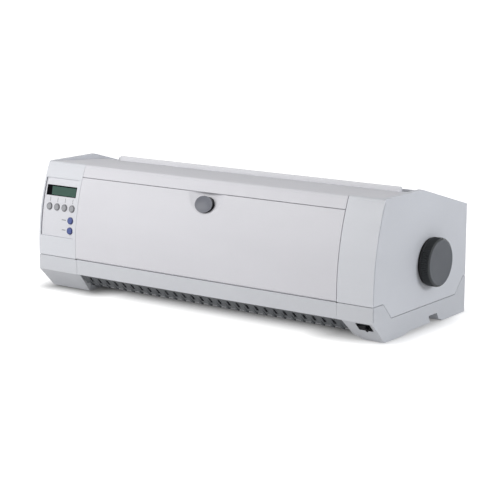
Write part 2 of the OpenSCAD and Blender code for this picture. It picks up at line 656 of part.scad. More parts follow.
module operator_panel() color([0.8, 0.81, 0.82]) difference() {
    union() {
        along_x(panel_x0, panel_x1) face_sheet(panel_sink, panel_t, panel_z0, panel_z1);
        along_x(panel_x0, panel_x1 + 2) face_sheet(wall + 2 * eps, flange_t, panel_z0 - 2, panel_z1 + 2);
        for (z = [blue_z, blue_z - blue_pitch]) on_panel(boss_x, z)
            translate([0, 0, board_d + sag_z(z)]) cylinder(r = 2.5, h = -board_d - sag_z(z) - panel_sink - 1);
    }
    on_panel((panel_x0 + panel_x1) / 2, lcd_z) translate([-lcd_w / 2, -lcd_h / 2, -12])
        cube([lcd_w, lcd_h, 20]);
    for (x = key_x) key_hole(x, key_z, key_hole_r);
    for (i = [0, 1]) key_hole(blue_x, blue_z - i * blue_pitch, key_hole_r);
}

lcd_top = -panel_sink - 0.3;
pane_t = 1.2;
module lcd_window() color([0.2, 0.3, 0.28, 0.6]) on_panel((panel_x0 + panel_x1) / 2, lcd_z)
    translate([-lcd_w / 2 + 0.1, -lcd_h / 2 + 0.1, lcd_top - pane_t])
        cube([lcd_w - 0.2, lcd_h - 0.2, pane_t]);
module lcd_module() color([0.2, 0.32, 0.28]) on_panel((panel_x0 + panel_x1) / 2, lcd_z) {
    glass = lcd_top - pane_t;
    bottom = board_d + sag_z(lcd_z);
    translate([-lcd_w / 2 + 0.3, -lcd_h / 2 + 0.3, glass - 3]) cube([lcd_w - 0.6, lcd_h - 0.6, 3]);
    translate([-lcd_w / 2 - 1, -lcd_h / 2 - 3, bottom]) cube([lcd_w + 2, lcd_h + 6, glass - 2.5 - bottom]);
}

// A key: a round cap through the panel, a retaining collar and a stem down to its switch.
module key(x, z) on_panel(x, z) {
    collar = -panel_sink - panel_t - air - 1;
    translate([0, 0, collar - 0.5]) cylinder(r = key_d / 2, h = -panel_sink + 1.2 - collar + 0.5);
    translate([0, 0, collar - 1]) cylinder(r = key_d / 2 + 1, h = 1);
    translate([0, 0, board_d + sag_z(z) + 2 + key_travel + air])
        cylinder(r = 2, h = collar - board_d - sag_z(z) - 3 - key_travel - air);
}
module key_1() color([0.5, 0.51, 0.54]) key(key_x[3], key_z);
module key_2() color([0.5, 0.51, 0.54]) key(key_x[2], key_z);
module key_3() color([0.5, 0.51, 0.54]) key(key_x[1], key_z);
module key_4() color([0.5, 0.51, 0.54]) key(key_x[0], key_z);
module key_blue_upper() color([0.3, 0.35, 0.66]) key(blue_x, blue_z);
module key_blue_lower() color([0.3, 0.35, 0.66]) key(blue_x, blue_z - blue_pitch);

module panel_board() color([0.1, 0.35, 0.2]) {
    on_panel((panel_x0 + panel_x1) / 2, face_mid_z) translate([-31, panel_z0 - face_mid_z + 4, board_d - 1.6])
        cube([62, panel_z1 - panel_z0 - 8, 1.6]);
    for (x = key_x) tact_switch(x, key_z);
    for (i = [0, 1]) tact_switch(blue_x, blue_z - i * blue_pitch);
}
module tact_switch(x, z) on_panel(x, z) translate([-3, -3, board_d + sag_z(z) - eps]) cube([6, 6, 2 + eps]);

// ---------- power switch ----------
rocker_lean = 8;
rocker_half = 8.2;
module power_switch() color([0.08, 0.08, 0.09]) on_bevel(switch_x, switch_y) difference() {
    union() {
        translate([-switch_w / 2, -switch_h / 2, 0]) cube([switch_w, switch_h, 1]);
        translate([-switch_w / 2 + 1.2, -switch_h / 2 + 1.2, -14]) cube([switch_w - 2.4, switch_h - 2.4, 14]);
    }
    translate([-rocker_half - 0.9, -5.3, -8]) cube([2 * rocker_half + 1.8, 10.6, 10]);
    translate([0, -6, -3]) rotate([-90, 0, 0]) cylinder(r = 1.2 + fit, h = 12);
}
module power_rocker() color([0.05, 0.05, 0.06]) on_bevel(switch_x, switch_y) translate([0, 0, -3])
    rotate([0, rocker_lean, 0]) {
        translate([0, 5, 0]) rotate([90, 0, 0]) linear_extrude(10)
            polygon([[-rocker_half, 1], [-rocker_half, 4.6], [0, 3.4], [rocker_half, 4.6], [rocker_half, 1],
                [3, -3], [-3, -3]]);
        translate([0, -5.8, 0]) rotate([-90, 0, 0]) cylinder(r = 1.2, h = 11.6);
    }

// ---------- chassis ----------
steel = [0.62, 0.63, 0.65];
bush_r = shaft_r + 3;
rail_y = guide_y - 32; // upper guide rail
rail_z = platen_z + 18;
bail_angle = 100;
bail_r = 8;
bail_shaft_r = 3;
bail_y = platen_y + (platen_r + bail_r + air) * cos(bail_angle);
bail_z = platen_z + (platen_r + bail_r + air) * sin(bail_angle);
bail_pivot_y = platen_y + platen_r + 8;
bail_pivot_z = platen_z + 18;
bail_pin_r = 2;
support_y = tractor_y - 22; // support shaft of the tractors
support_z = tractor_z;
bar_y0 = 38; // front crossbar
bar_y1 = 46;
bar_t = 1.5;
bar_z0 = latch_z - 10;
bar_z1 = latch_z + 12;

flange_w = 16; // width of the side frames' flanges
// Points of a side frame, seen from the side.
module frame_plate() polygon([[bar_y0 - 2, 60], [bar_y0 - 2, bar_z1], [bar_y1 + 2, bar_z1], [72, 134],
    [platen_y - 22, 134],
    [platen_y - 14, tear_seat - 10], [rail_y1 + 2, tear_seat - 10], [support_y, tractor_z + 16],
        [tractor_y + 14, tractor_z + 16],
    [tractor_y + 20, foot_top], [frame_foot_y, foot_top]]);
module side_frame(x, flange_x) {
    difference() {
        union() {
            along_x(x, x + frame_t) frame_plate();
            block([min(x, flange_x), frame_foot_y, foot_top], [max(x + frame_t, flange_x), tractor_y + 20,
                foot_top + frame_t]);
        }
        rod_x(x - 1, x + frame_t + 1, platen_y, platen_z, bush_r);
        rod_x(x - 1, x + frame_t + 1, guide_y, guide_z, guide_r);
        rod_x(x - 1, x + frame_t + 1, tractor_y, tractor_z, tractor_r + fit);
        rod_x(x - 1, x + frame_t + 1, support_y, support_z, support_r);
        rod_x(x - 1, x + frame_t + 1, bail_pivot_y, bail_pivot_z, bail_pin_r + fit);
        for (p = screw_at) translate([p[0], p[1], foot_top - 1]) cylinder(r = screw_r, h = frame_t + 2);
    }
}
motor_angle = 225; // direction from the platen axis to the line feed motor
motor_reach = tooth_m * (platen_teeth + pinion_teeth) / 2;
motor_y = platen_y + motor_reach * cos(motor_angle);
motor_z = platen_z + motor_reach * sin(motor_angle);
motor_r = 20;
gear_x = frame_half + 3; // inner face of the gears
bracket_x = gear_x + gear_w + 3;
arbor_r = 2.5;
idler_reach = tooth_m * (platen_teeth + idler_teeth) / 2;
idler_span = tooth_m * (idler_teeth + tractor_teeth) / 2;
tractor_dist = norm([tractor_y - platen_y, tractor_z - platen_z]);
tractor_dir = atan2(tractor_z - platen_z, tractor_y - platen_y);
idler_dir = tractor_dir - acos((idler_reach * idler_reach + tractor_dist * tractor_dist - idler_span * idler_span)
    / (2 * idler_reach * tractor_dist));
idler_y = platen_y + idler_reach * cos(idler_dir);
idler_z = platen_z + idler_reach * sin(idler_dir);
idler_to_tractor = atan2(tractor_z - idler_z, tractor_y - idler_y);

module side_frame_left() color(steel) side_frame(-frame_half, flange_w - frame_half);
module side_frame_right() color(steel) {
    side_frame(frame_half - frame_t, frame_half - flange_w);
    // stub axle of the idler gear
    rod_x(frame_half - eps, gear_x + gear_w + 1, idler_y, idler_z, arbor_r);
    rod_x(frame_half - eps, gear_x - 0.5, idler_y, idler_z, arbor_r + 2);
    // bracket of the line feed motor
    for (a = [90, 180, 270]) rod_x(frame_half - eps, bracket_x + eps,
        motor_y + 25 * cos(motor_angle - 180 + a),
        motor_z + 25 * sin(motor_angle - 180 + a), 2.5);
    difference() {
        along_x(bracket_x, bracket_x + frame_t) difference() {
            translate([motor_y, motor_z]) circle(r = 29);
            translate([platen_y, platen_z]) circle(r = shaft_r + 4);
        }
        rod_x(bracket_x - 1, bracket_x + frame_t + 1, motor_y, motor_z, 8);
    }
}
module front_crossbar() color(steel) {
    x = frame_half - frame_t;
    difference() {
        block([-x, bar_y0, bar_z0], [x, bar_y1, bar_z1]);
        block([-x - 1, bar_y0 + bar_t, bar_z0 - 1], [x + 1, bar_y1 + 1, bar_z1 - bar_t]);
        // slot of the push catch
        block([latch_x - tongue_w / 2 - 2, bar_y0 - 1, latch_z - 4],
            [latch_x + tongue_w / 2 + 2, bar_y0 + bar_t + 1, latch_z + 9]);
    }
}
module paper_guide() color(steel) along_x(-frame_half + frame_t, frame_half - frame_t) difference() {
    intersection() {
        translate([platen_y, platen_z]) circle(r = platen_r + 3.5);
        translate([platen_y - 17, platen_z - 30]) square([34, 18]);
    }
    translate([platen_y, platen_z]) circle(r = platen_r + 2);
}
module chassis_screws() color([0.75, 0.72, 0.6]) for (p = screw_at) translate([p[0], p[1], 0]) {
    translate([0, 0, foot_top - 2]) cylinder(r = screw_r, h = frame_t + 2 + eps);
    translate([0, 0, foot_top + frame_t]) cylinder(r = 3, h = 2);
}

// ---------- platen drive ----------
module platen_roller() color([0.1, 0.1, 0.11]) difference() {
    rod_x(-platen_len / 2, platen_len / 2, platen_y, platen_z, platen_r);
    rod_x(-platen_len / 2 - 1, platen_len / 2 + 1, platen_y, platen_z, shaft_r);
}
knob_stub = 14;
module platen_shaft() color([0.7, 0.7, 0.72])
    rod_x(-frame_half - 4, knob_x + knob_stub, platen_y, platen_z, shaft_r);
module platen_bushes() color([0.75, 0.6, 0.3]) for (x = [-frame_half, frame_half - frame_t]) difference() {
    rod_x(x, x + frame_t, platen_y, platen_z, bush_r);
    rod_x(x - 1, x + frame_t + 1, platen_y, platen_z, shaft_r + fit);
}
module platen_knob() color([0.4, 0.42, 0.44]) difference() {
    union() {
        rod_x(knob_x + 0.7, half_w + knob_out - 3, platen_y, platen_z, knob_r);
        rod_x(half_w + knob_out - 3 - eps, half_w + knob_out, platen_y, platen_z, knob_r - 2);
    }
    rod_x(knob_x, knob_x + knob_stub, platen_y, platen_z, shaft_r);
}
// An involute spur gear along X, with the middle of one tooth at angle turn.
pressure = 20;
backlash = 0.12;
function involute(rb, t) = [rb * (cos(t) + t * PI / 180 * sin(t)), rb * (sin(t) - t * PI / 180 * cos(t))];
function turned(p, a) = [p[0] * cos(a) - p[1] * sin(a), p[0] * sin(a) + p[1] * cos(a)];
function flat_inv(a) = tan(a) * 180 / PI - a;
// One flank, from the base circle to the tip.
function flank(rb, ra, steps) = [for (i = [0:steps])
    involute(rb, sqrt(max(0, ra * ra / (rb * rb) - 1)) * 180 / PI * i / steps)];
module gear_shape(teeth, turn) {
    rp = tooth_m * teeth / 2;
    rb = rp * cos(pressure);
    ra = rp + tooth_m * 0.95;
    rr = rp - tooth_m * 1.2;
    half_tooth = 90 / teeth + flat_inv(pressure) - backlash / rp * 180 / PI / 2;
    f = flank(rb, ra, 4);
    n = len(f);
    polygon([for (k = [0:teeth - 1]) let (a = turn + k * 360 / teeth) each concat(
        [turned([min(rr, rb), 0], a - half_tooth)],
        [for (i = [0:n - 1]) turned(f[i], a - half_tooth)],
        [for (i = [n - 1:-1:0]) turned([f[i][0], -f[i][1]], a + half_tooth)],
        [turned([min(rr, rb), 0], a + half_tooth)])]);
}
module gear(x, y, z, teeth, turn, bore) difference() {
    translate([0, y, z]) along_x(x, x + gear_w) gear_shape(teeth, turn);
    rod_x(x - 1, x + gear_w + 1, y, z, bore);
}
// Turn of a gear that meshes at the far end of a line at angle dir from a gear with its own turn.
function mesh_turn(dir, teeth_a, turn_a, teeth_b) =
    dir + 180 - (360 / teeth_b) * (0.5 - (dir - turn_a) / (360 / teeth_a));
idler_turn = mesh_turn(idler_dir, platen_teeth, 0, idler_teeth);
tractor_turn = mesh_turn(idler_to_tractor, idler_teeth, idler_turn, tractor_teeth);
pinion_turn = mesh_turn(motor_angle, platen_teeth, 0, pinion_teeth);
module platen_gear() color([0.85, 0.84, 0.8]) gear(gear_x, platen_y, platen_z, platen_teeth, 0, shaft_r);
module idler_gear() color([0.85, 0.84, 0.8]) gear(gear_x, idler_y, idler_z, idler_teeth, idler_turn,
    arbor_r + fit);
module tractor_gear() color([0.85, 0.84, 0.8]) gear(gear_x, tractor_y, tractor_z, tractor_teeth, tractor_turn,
    tractor_r);
module motor_pinion() color([0.8, 0.68, 0.35]) {
    gear(gear_x, motor_y, motor_z, pinion_teeth, pinion_turn, arbor_r);
    rod_x(gear_x, bracket_x + frame_t + 16, motor_y, motor_z, arbor_r);
}
module line_feed_motor() color([0.15, 0.15, 0.16]) difference() {
    union() {
        rod_x(bracket_x + frame_t, bracket_x + frame_t + 32, motor_y, motor_z, motor_r);
        rod_x(bracket_x, bracket_x + frame_t + 1, motor_y, motor_z, 8);
    }
    rod_x(bracket_x - 1, bracket_x + frame_t + 17, motor_y, motor_z, arbor_r + fit);
}

// ---------- tractors ----------
wheel_r = 13;
wheel_w = 6;
pin_n = 8;
tractor_y0 = support_y - 8;
tractor_y1 = tractor_y + 16;
tractor_z0 = tractor_z - 10;
tractor_z1 = tractor_z + 12;
lid_t = 2.5;
lid_pin_r = 1.2;
module tractor_shaft() color([0.7, 0.7, 0.72])
    rod_x(-frame_half - 3, gear_x + gear_w, tractor_y, tractor_z, tractor_r);
module support_shaft() color([0.7, 0.7, 0.72])
    rod_x(-frame_half, frame_half, support_y, support_z, support_r);
module tractor(x) difference() {
    union() {
        block([x - tractor_w / 2, tractor_y0, tractor_z0], [x + tractor_w / 2, tractor_y1, tractor_z1]);
        // ears of the lid's hinge
        for (y = [tractor_y0, tractor_y1 - 5])
            block([x + lid_side(x) * (tractor_w / 2 - 2) - 2, y, tractor_z1 - eps],
            [x + lid_side(x) * (tractor_w / 2 - 2) + 2, y + 5, tractor_z1 + 4]);
    }
    // slot for the pin wheel
    block([x - wheel_w / 2 - 0.5, tractor_y - wheel_r - 3.2, tractor_z - wheel_r - 2],
        [x + wheel_w / 2 + 0.5, tractor_y + wheel_r + 1.5, tractor_z1 + 1]);
    rod_x(x - tractor_w, x + tractor_w, tractor_y, tractor_z, tractor_r + fit);
    rod_x(x - tractor_w, x + tractor_w, support_y, support_z, support_r + fit);
    translate([x + lid_side(x) * (tractor_w / 2 - 2), tractor_y0 - 1, tractor_z1 + 2]) rotate([-90, 0, 0])
        cylinder(r = lid_pin_r + fit, h = tractor_y1 - tractor_y0 + 2);
}
function lid_side(x) = x > 0 ? 1 : -1; // the lids open outwards
module pin_wheel(x) difference() {
    union() {
        rod_x(x - wheel_w / 2, x + wheel_w / 2, tractor_y, tractor_z, wheel_r - 2.5);
        for (i = [0:pin_n - 1]) translate([x, tractor_y, tractor_z]) rotate([i * 360 / pin_n, 0, 0])
            translate([0, 0, wheel_r - 4]) cylinder(r = 1.6, h = 5, $fn = 24);
    }
    rod_x(x - wheel_w, x + wheel_w, tractor_y, tractor_z, tractor_r + fit);
}
module tractor_lid(x) {
    s = lid_side(x);
    hx = x + s * (tractor_w / 2 - 2);
    ya = tractor_y0 + 5 + air;
    yb = tractor_y1 - 5 - air;
    difference() {
        union() {
            block([min(hx, x - s * tractor_w / 2), ya, tractor_z1 + 0.8], [max(hx, x - s * tractor_w / 2), yb,
                tractor_z1 + 0.8 + lid_t]);
            translate([hx, ya, tractor_z1 + 2]) rotate([-90, 0, 0]) cylinder(r = 1.9, h = yb - ya);
        }
        block([x - 3, tractor_y - 14, tractor_z1], [x + 3, tractor_y + 9, tractor_z1 + 6]);
    }
    translate([hx, tractor_y0 + 1, tractor_z1 + 2]) rotate([-90, 0, 0])
        cylinder(r = lid_pin_r, h = tractor_y1 - tractor_y0 - 2);
}
module tractor_left() color([0.2, 0.2, 0.22]) tractor(-tractor_x);
module tractor_right() color([0.2, 0.2, 0.22]) tractor(tractor_x);
module pin_wheel_left() color([0.8, 0.8, 0.78]) pin_wheel(-tractor_x);
module pin_wheel_right() color([0.8, 0.8, 0.78]) pin_wheel(tractor_x);
module tractor_lid_left() color([0.3, 0.3, 0.33]) tractor_lid(-tractor_x);
module tractor_lid_right() color([0.3, 0.3, 0.33]) tractor_lid(tractor_x);

// ---------- carriage ----------
cassette_half = 58; // half the width of the ribbon cassette
carriage_top = guide_z + 16;
head_h = 26; // height of the head's cooling fins
fin_t = 3;
nose_y0 = guide_y + 23; // back of the head's nose
nose_y1 = platen_y - platen_r - 0.8; // its tip
cassette_z0 = carriage_top + head_h + 1;
cassette_z1 = cassette_z0 + 12;
arm_w = 14; // width of the cassette's arms
ribbon_knob_x = 28;
ribbon_knob_y = guide_y - 4;
belt_z0 = guide_z - 24;
belt_h = 6;
belt_y = guide_y + 12;
belt_run_y = belt_y - pulley_r; // inner face of the run that the carriage holds
module carriage() color([0.14, 0.14, 0.15]) difference() {
    union() {
        block([-30, guide_y - 14, guide_z - 10], [30, guide_y + 16, carriage_top]);
        block([-20, rail_y - 4, carriage_top - 5], [20, guide_y - 13, carriage_top]);
        block([-20, rail_y - 4, carriage_top - 1], [20, rail_y - 1 - air, rail_z - 6]);
        block([-20, rail_y + 1 + air, carriage_top - 1], [20, rail_y + 5, rail_z - 6]);
        // clamp on the belt
        block([-10, belt_run_y - 4, belt_z0 - 2], [10, belt_run_y + 3, guide_z - 9]);
    }
    rod_x(-31, 31, guide_y, guide_z, guide_r + fit);
    block([-11, belt_run_y - 1 - air, belt_z0 - air], [11, belt_run_y + air, belt_z0 + belt_h + air]);
}
module print_head() color([0.3, 0.31, 0.33]) {
    translate([0, 0, carriage_top]) {
        for (i = [0:5]) translate([-19, guide_y - 18 + 2 * i * fin_t, 0]) cube([38, fin_t, head_h]);
        block([-14, guide_y - 17, 0], [14, nose_y0 + 1, head_h - 2]);
    }
    translate([0, 0, platen_z]) linear_extrude(14, center = true)
        polygon([[-12, nose_y0], [-3, nose_y1], [3, nose_y1], [12, nose_y0]]);
}
module ribbon_cassette() color([0.12, 0.12, 0.13]) {
    block([-cassette_half, rail_y + 8, cassette_z0], [cassette_half, nose_y0 + 1, cassette_z1]);
    for (s = [-1, 1]) {
        arm_x = s * (cassette_half - arm_w / 2);
        block([arm_x - arm_w / 2, nose_y0, platen_z - 7], [arm_x + arm_w / 2, nose_y1, cassette_z1]);
        // legs that clip on the carriage
        block([s * 24 - 3, guide_y - 10, carriage_top], [s * 24 + 3, guide_y + 10, cassette_z0 + eps]);
    }
    translate([ribbon_knob_x, ribbon_knob_y, cassette_z1 - eps]) cylinder(r = ribbon_pin_r, h = 5);
}
ribbon_pin_r = 2.5;
module ribbon_knob() color([0.6, 0.25, 0.2]) translate([ribbon_knob_x, ribbon_knob_y, cassette_z1 + air])
    difference() {
    cylinder(r = 9, h = 7);
    translate([0, 0, -1]) cylinder(r = ribbon_pin_r + fit, h = 6);
}
module carriage_shaft() color([0.75, 0.75, 0.77]) rod_x(-frame_half, frame_half, guide_y, guide_z, guide_r);
module guide_rail() color(steel) {
    block([-frame_half + frame_t, rail_y - 1, carriage_top + 8], [frame_half - frame_t, rail_y + 1, rail_z]);
    block([-frame_half + frame_t, rail_y - 12, rail_z - 2], [frame_half - frame_t, rail_y - 1 + eps, rail_z]);
}
module belt_loop(r) {
    for (x = [-pulley_x, pulley_x]) translate([x, belt_y]) circle(r = r);
    translate([-pulley_x, belt_y - r]) square([2 * pulley_x, 2 * r]);
}
module carriage_belt() color([0.05, 0.05, 0.05]) translate([0, 0, belt_z0]) linear_extrude(belt_h)
    difference() {
    belt_loop(pulley_r + 1);
    belt_loop(pulley_r);
}
belt_air = 0.1;
module pulley(x) translate([x, belt_y, belt_z0]) difference() {
    union() {
        translate([0, 0, -1.6]) cylinder(r = pulley_r + 2, h = 1.3);
        translate([0, 0, -1]) cylinder(r = pulley_r - belt_air, h = belt_h + 2);
        translate([0, 0, belt_h + air]) cylinder(r = pulley_r + 2, h = 1.3);
    }
    translate([0, 0, -3]) cylinder(r = arbor_r + fit, h = belt_h + 8);
}
module motor_pulley() color([0.7, 0.7, 0.72]) pulley(-pulley_x);
module idler_pulley() color([0.7, 0.7, 0.72]) pulley(pulley_x);
// An upright arbor for a pulley, on a round base.
module arbor(x, base_r, bottom, top) translate([x, belt_y, 0]) {
    translate([0, 0, bottom]) cylinder(r = base_r, h = top - bottom);
    translate([0, 0, top - eps]) cylinder(r = arbor_r, h = belt_z0 + belt_h + 3 - top);
}
module carriage_motor() color([0.15, 0.15, 0.16]) arbor(-pulley_x, 19, foot_top + frame_t, belt_z0 - 4);
module idler_post() color(steel) arbor(pulley_x, 6, foot_top, belt_z0 - 2);
module paper_bail() color([0.5, 0.5, 0.52]) {
    rod_x(-frame_half + frame_t + 2, frame_half - frame_t - 2, bail_y, bail_z, bail_shaft_r);
    for (x = [-180, -60, 60, 180]) rod_x(x - 12, x + 12, bail_y, bail_z, bail_r);
    for (x = [-frame_half + frame_t + 2, frame_half - frame_t - 5]) along_x(x, x + 3) difference() {
        union() {
            translate([bail_y, bail_z]) circle(r = 5);
            translate([bail_pivot_y, bail_pivot_z]) circle(r = 5);
            translate([bail_y, bail_z]) rotate(atan2(bail_pivot_z - bail_z, bail_pivot_y - bail_y))
                translate([0, -4]) square([norm([bail_pivot_y - bail_y, bail_pivot_z - bail_z]), 8]);
        }
    }
    rod_x(-frame_half, -frame_half + frame_t + 3, bail_pivot_y, bail_pivot_z, bail_pin_r);
    rod_x(frame_half - frame_t - 3, frame_half, bail_pivot_y, bail_pivot_z, bail_pin_r);
}

// ---------- electrics ----------
board_gap = 6; // height of the posts under the main board
board_z = foot_top + board_gap;
board_t = 1.6;
supply_w = 108; // width of the power supply
supply_h = 48;
vent_in = 12; // spacing of the supply's vents, and their distance from its edges
back_room = 27; // room for cables in front of the rear wall
supply_x = frame_half - 132;
supply_y = belt_y + 24;
supply_l = case_d - back_room - supply_y;
board_x = 40 - frame_half;
board_w = supply_x - 28 - board_x;
board_y = belt_y + 12;
board_l = case_d - back_room - board_y;
// Parts on the main board: place from its front left corner, width, depth and height.
board_parts = [[26, 14, 30, 30, 4], [76, 24, 18, 44, 3], [116, 16, 24, 10, 12],
    [board_w - 96, 14, 40, 14, 18],
    [board_w - 46, board_l - 46, 16, 30, 8], [46, board_l - 46, 60, 12, 10], [136, board_l - 36, 12, 26, 3],
    [160, board_l - 36, 12, 26, 3]];
module main_board() color([0.1, 0.35, 0.2]) translate([board_x, board_y, board_z]) {
    cube([board_w, board_l, board_t]);
    for (c = board_parts) translate([c[0], c[1], board_t - 0.1]) cube([c[2], c[3], c[4] + 0.1]);
}
module power_supply() color([0.66, 0.67, 0.68]) translate([supply_x, supply_y, foot_top]) difference() {
    cube([supply_w, supply_l, supply_h]);
    for (i = [0:7]) translate([vent_in + i * vent_in, vent_in, supply_h - 2])
        cube([4, supply_l - 2 * vent_in, 3]);
}
module rear_connectors() color([0.08, 0.08, 0.09]) {
    difference() {
        block([inlet_x, case_d - 18, inlet_z], [inlet_x + inlet_w, case_d, inlet_z + inlet_h]);
        block([inlet_x + 4, case_d - 14, inlet_z + 4], [inlet_x + inlet_w - 4, case_d + 1,
            inlet_z + inlet_h - 4]);
    }
    for (x = [-4, 0, 4]) block([inlet_x + inlet_w / 2 + x * 1.6 - 1, case_d - 15, inlet_z + inlet_h / 2 - 2],
        [inlet_x + inlet_w / 2 + x * 1.6 + 1, case_d - 4, inlet_z + inlet_h / 2 + 2]);
    difference() {
        block([data_x, case_d - 20, inlet_z], [data_x + data_w, case_d, inlet_z + data_h]);
        block([data_x + 4, case_d - 10, inlet_z + 4], [data_x + data_w - 4, case_d + 1,
            inlet_z + data_h - 4]);
    }
    block([data_x + 10, case_d - 11, inlet_z + data_h / 2 - 2], [data_x + data_w - 10, case_d - 3,
        inlet_z + data_h / 2 + 2]);
}

placed() base_housing();
placed() front_sill();
placed() intake_grille();
placed() rubber_feet();
placed() upper_housing();
placed() top_cover();
placed() rear_cover();
placed() tear_bar();
placed() front_door();
placed() hinge_pins();
placed() latch_button();
placed() operator_panel();
placed() lcd_window();
placed() lcd_module();
placed() key_1();
placed() key_2();
placed() key_3();
placed() key_4();
placed() key_blue_upper();
placed() key_blue_lower();
placed() panel_board();
placed() power_switch();
placed() power_rocker();
placed() platen_knob();
placed() platen_shaft();
placed() platen_roller();
placed() platen_bushes();
placed() platen_gear();
placed() idler_gear();
placed() motor_pinion();
placed() line_feed_motor();
placed() tractor_shaft();
placed() tractor_gear();
placed() support_shaft();
placed() tractor_left();
placed() tractor_right();
placed() pin_wheel_left();
placed() pin_wheel_right();
placed() tractor_lid_left();
placed() tractor_lid_right();
placed() carriage();
placed() print_head();
placed() ribbon_cassette();
placed() ribbon_knob();
placed() carriage_shaft();
placed() guide_rail();
placed() carriage_belt();
placed() motor_pulley();
placed() idler_pulley();
placed() carriage_motor();
placed() idler_post();
placed() side_frame_left();
placed() side_frame_right();
placed() front_crossbar();
placed() paper_guide();
placed() paper_bail();
placed() main_board();
placed() power_supply();
placed() rear_connectors();
placed() chassis_screws();
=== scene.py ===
# Looks of a wide-carriage dot matrix printer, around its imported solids. Metres, front towards -Y.
import math

import bmesh
import bpy
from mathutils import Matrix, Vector


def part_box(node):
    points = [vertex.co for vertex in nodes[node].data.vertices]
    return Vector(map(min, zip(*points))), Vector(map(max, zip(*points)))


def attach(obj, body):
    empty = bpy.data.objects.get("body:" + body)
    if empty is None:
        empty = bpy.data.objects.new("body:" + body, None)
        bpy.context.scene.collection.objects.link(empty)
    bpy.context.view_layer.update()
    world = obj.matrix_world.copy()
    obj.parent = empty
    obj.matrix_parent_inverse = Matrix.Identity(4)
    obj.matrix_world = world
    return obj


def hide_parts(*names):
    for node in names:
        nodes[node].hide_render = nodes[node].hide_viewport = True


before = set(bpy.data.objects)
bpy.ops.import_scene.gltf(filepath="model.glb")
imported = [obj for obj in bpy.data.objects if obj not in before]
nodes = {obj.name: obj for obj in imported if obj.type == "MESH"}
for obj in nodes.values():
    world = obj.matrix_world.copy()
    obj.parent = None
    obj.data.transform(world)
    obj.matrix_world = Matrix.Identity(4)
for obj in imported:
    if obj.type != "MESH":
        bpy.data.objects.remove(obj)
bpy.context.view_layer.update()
MM = 0.001

# The housing's own frame: X = 0 midway between the side walls, Y = 0 at the front face.
shell_lo, shell_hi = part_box("upper_housing")
MID_X = (shell_lo.x + shell_hi.x) / 2
FRONT = shell_lo.y
# The front face is flat up to CURVE_Z and then an arc of this radius.
FRONT_R = 335 * MM
CURVE_Z = 70 * MM


def place(x, y, z):
    """A point given in millimetres in the housing's own frame."""
    return Vector((MID_X + x * MM, FRONT + y * MM, z * MM))


def front_y(z):
    """Distance of the curved front face behind the front plane, in millimetres."""
    z = max(z * MM, CURVE_Z)
    return (FRONT_R - math.sqrt(FRONT_R**2 - (z - CURVE_Z) ** 2)) / MM


def front_lean(z):
    """Angle by which the front face leans back at a height."""
    return math.asin(max(z * MM - CURVE_Z, 0) / FRONT_R)


def face_point(x, z, out):
    """A point at a distance out of the curved front face."""
    a = front_lean(z)
    return place(x, front_y(z) - out * math.cos(a), z + out * math.sin(a))


# ---------- materials ----------
def start_material(name):
    """An empty principled material, with its object coordinates."""
    material = bpy.data.materials.new(name)
    material.use_nodes = True
    tree = material.node_tree
    tree.nodes.clear()
    shader = tree.nodes.new("ShaderNodeBsdfPrincipled")
    output = tree.nodes.new("ShaderNodeOutputMaterial")
    tree.links.new(shader.outputs["BSDF"], output.inputs["Surface"])
    coord = tree.nodes.new("ShaderNodeTexCoord")
    return material, tree, shader, coord.outputs["Object"]


def feed(tree, socket, value):
    """Sets a socket to a number or an RGB colour, or links another node's output to it."""
    if isinstance(value, bpy.types.NodeSocket):
        tree.links.new(value, socket)
    else:
        socket.default_value = (*value, 1) if isinstance(value, tuple) else value


def noise(tree, coord, scale, detail=3.0, rough=0.5, stretch=None):
    if stretch:
        mapping = tree.nodes.new("ShaderNodeMapping")
        mapping.inputs["Scale"].default_value = stretch
        tree.links.new(coord, mapping.inputs["Vector"])
        coord = mapping.outputs["Vector"]
    tex = tree.nodes.new("ShaderNodeTexNoise")
    tex.inputs["Scale"].default_value = scale
    tex.inputs["Detail"].default_value = detail
    tex.inputs["Roughness"].default_value = rough
    tree.links.new(coord, tex.inputs["Vector"])
    return tex.outputs["Fac"]


def remap(tree, value, from_min, from_max, to_min, to_max):
    node = tree.nodes.new("ShaderNodeMapRange")
    feed(tree, node.inputs["Value"], value)
    feed(tree, node.inputs["From Min"], from_min)
    feed(tree, node.inputs["From Max"], from_max)
    feed(tree, node.inputs["To Min"], to_min)
    feed(tree, node.inputs["To Max"], to_max)
    return node.outputs["Result"]


def math_node(tree, kind, *values):
    node = tree.nodes.new("ShaderNodeMath")
    node.operation = kind
    for socket, value in zip(node.inputs, values):
        feed(tree, socket, value)
    return node.outputs[0]


def blend_colour(tree, factor, a, b):
    node = tree.nodes.new("ShaderNodeMix")
    node.data_type = "RGBA"
    sockets = {s.identifier: s for s in node.inputs}
    for name, value in (("Factor_Float", factor), ("A_Color", a), ("B_Color", b)):
        feed(tree, sockets[name], value)
    return next(s for s in node.outputs if s.identifier == "Result_Color")


def weighted(tree, a, part_a, b, part_b):
    """The sum of two values, each times its share."""
    return math_node(
        tree, "ADD", math_node(tree, "MULTIPLY", a, part_a), math_node(tree, "MULTIPLY", b, part_b)
    )


def add_bump(tree, shader, height, strength, distance):
    bump = tree.nodes.new("ShaderNodeBump")
    bump.inputs["Strength"].default_value = strength
    bump.inputs["Distance"].default_value = distance
    tree.links.new(height, bump.inputs["Height"])
    tree.links.new(bump.outputs["Normal"], shader.inputs["Normal"])


def shade(colour, k):
    return tuple(min(1.0, c * k) for c in colour)


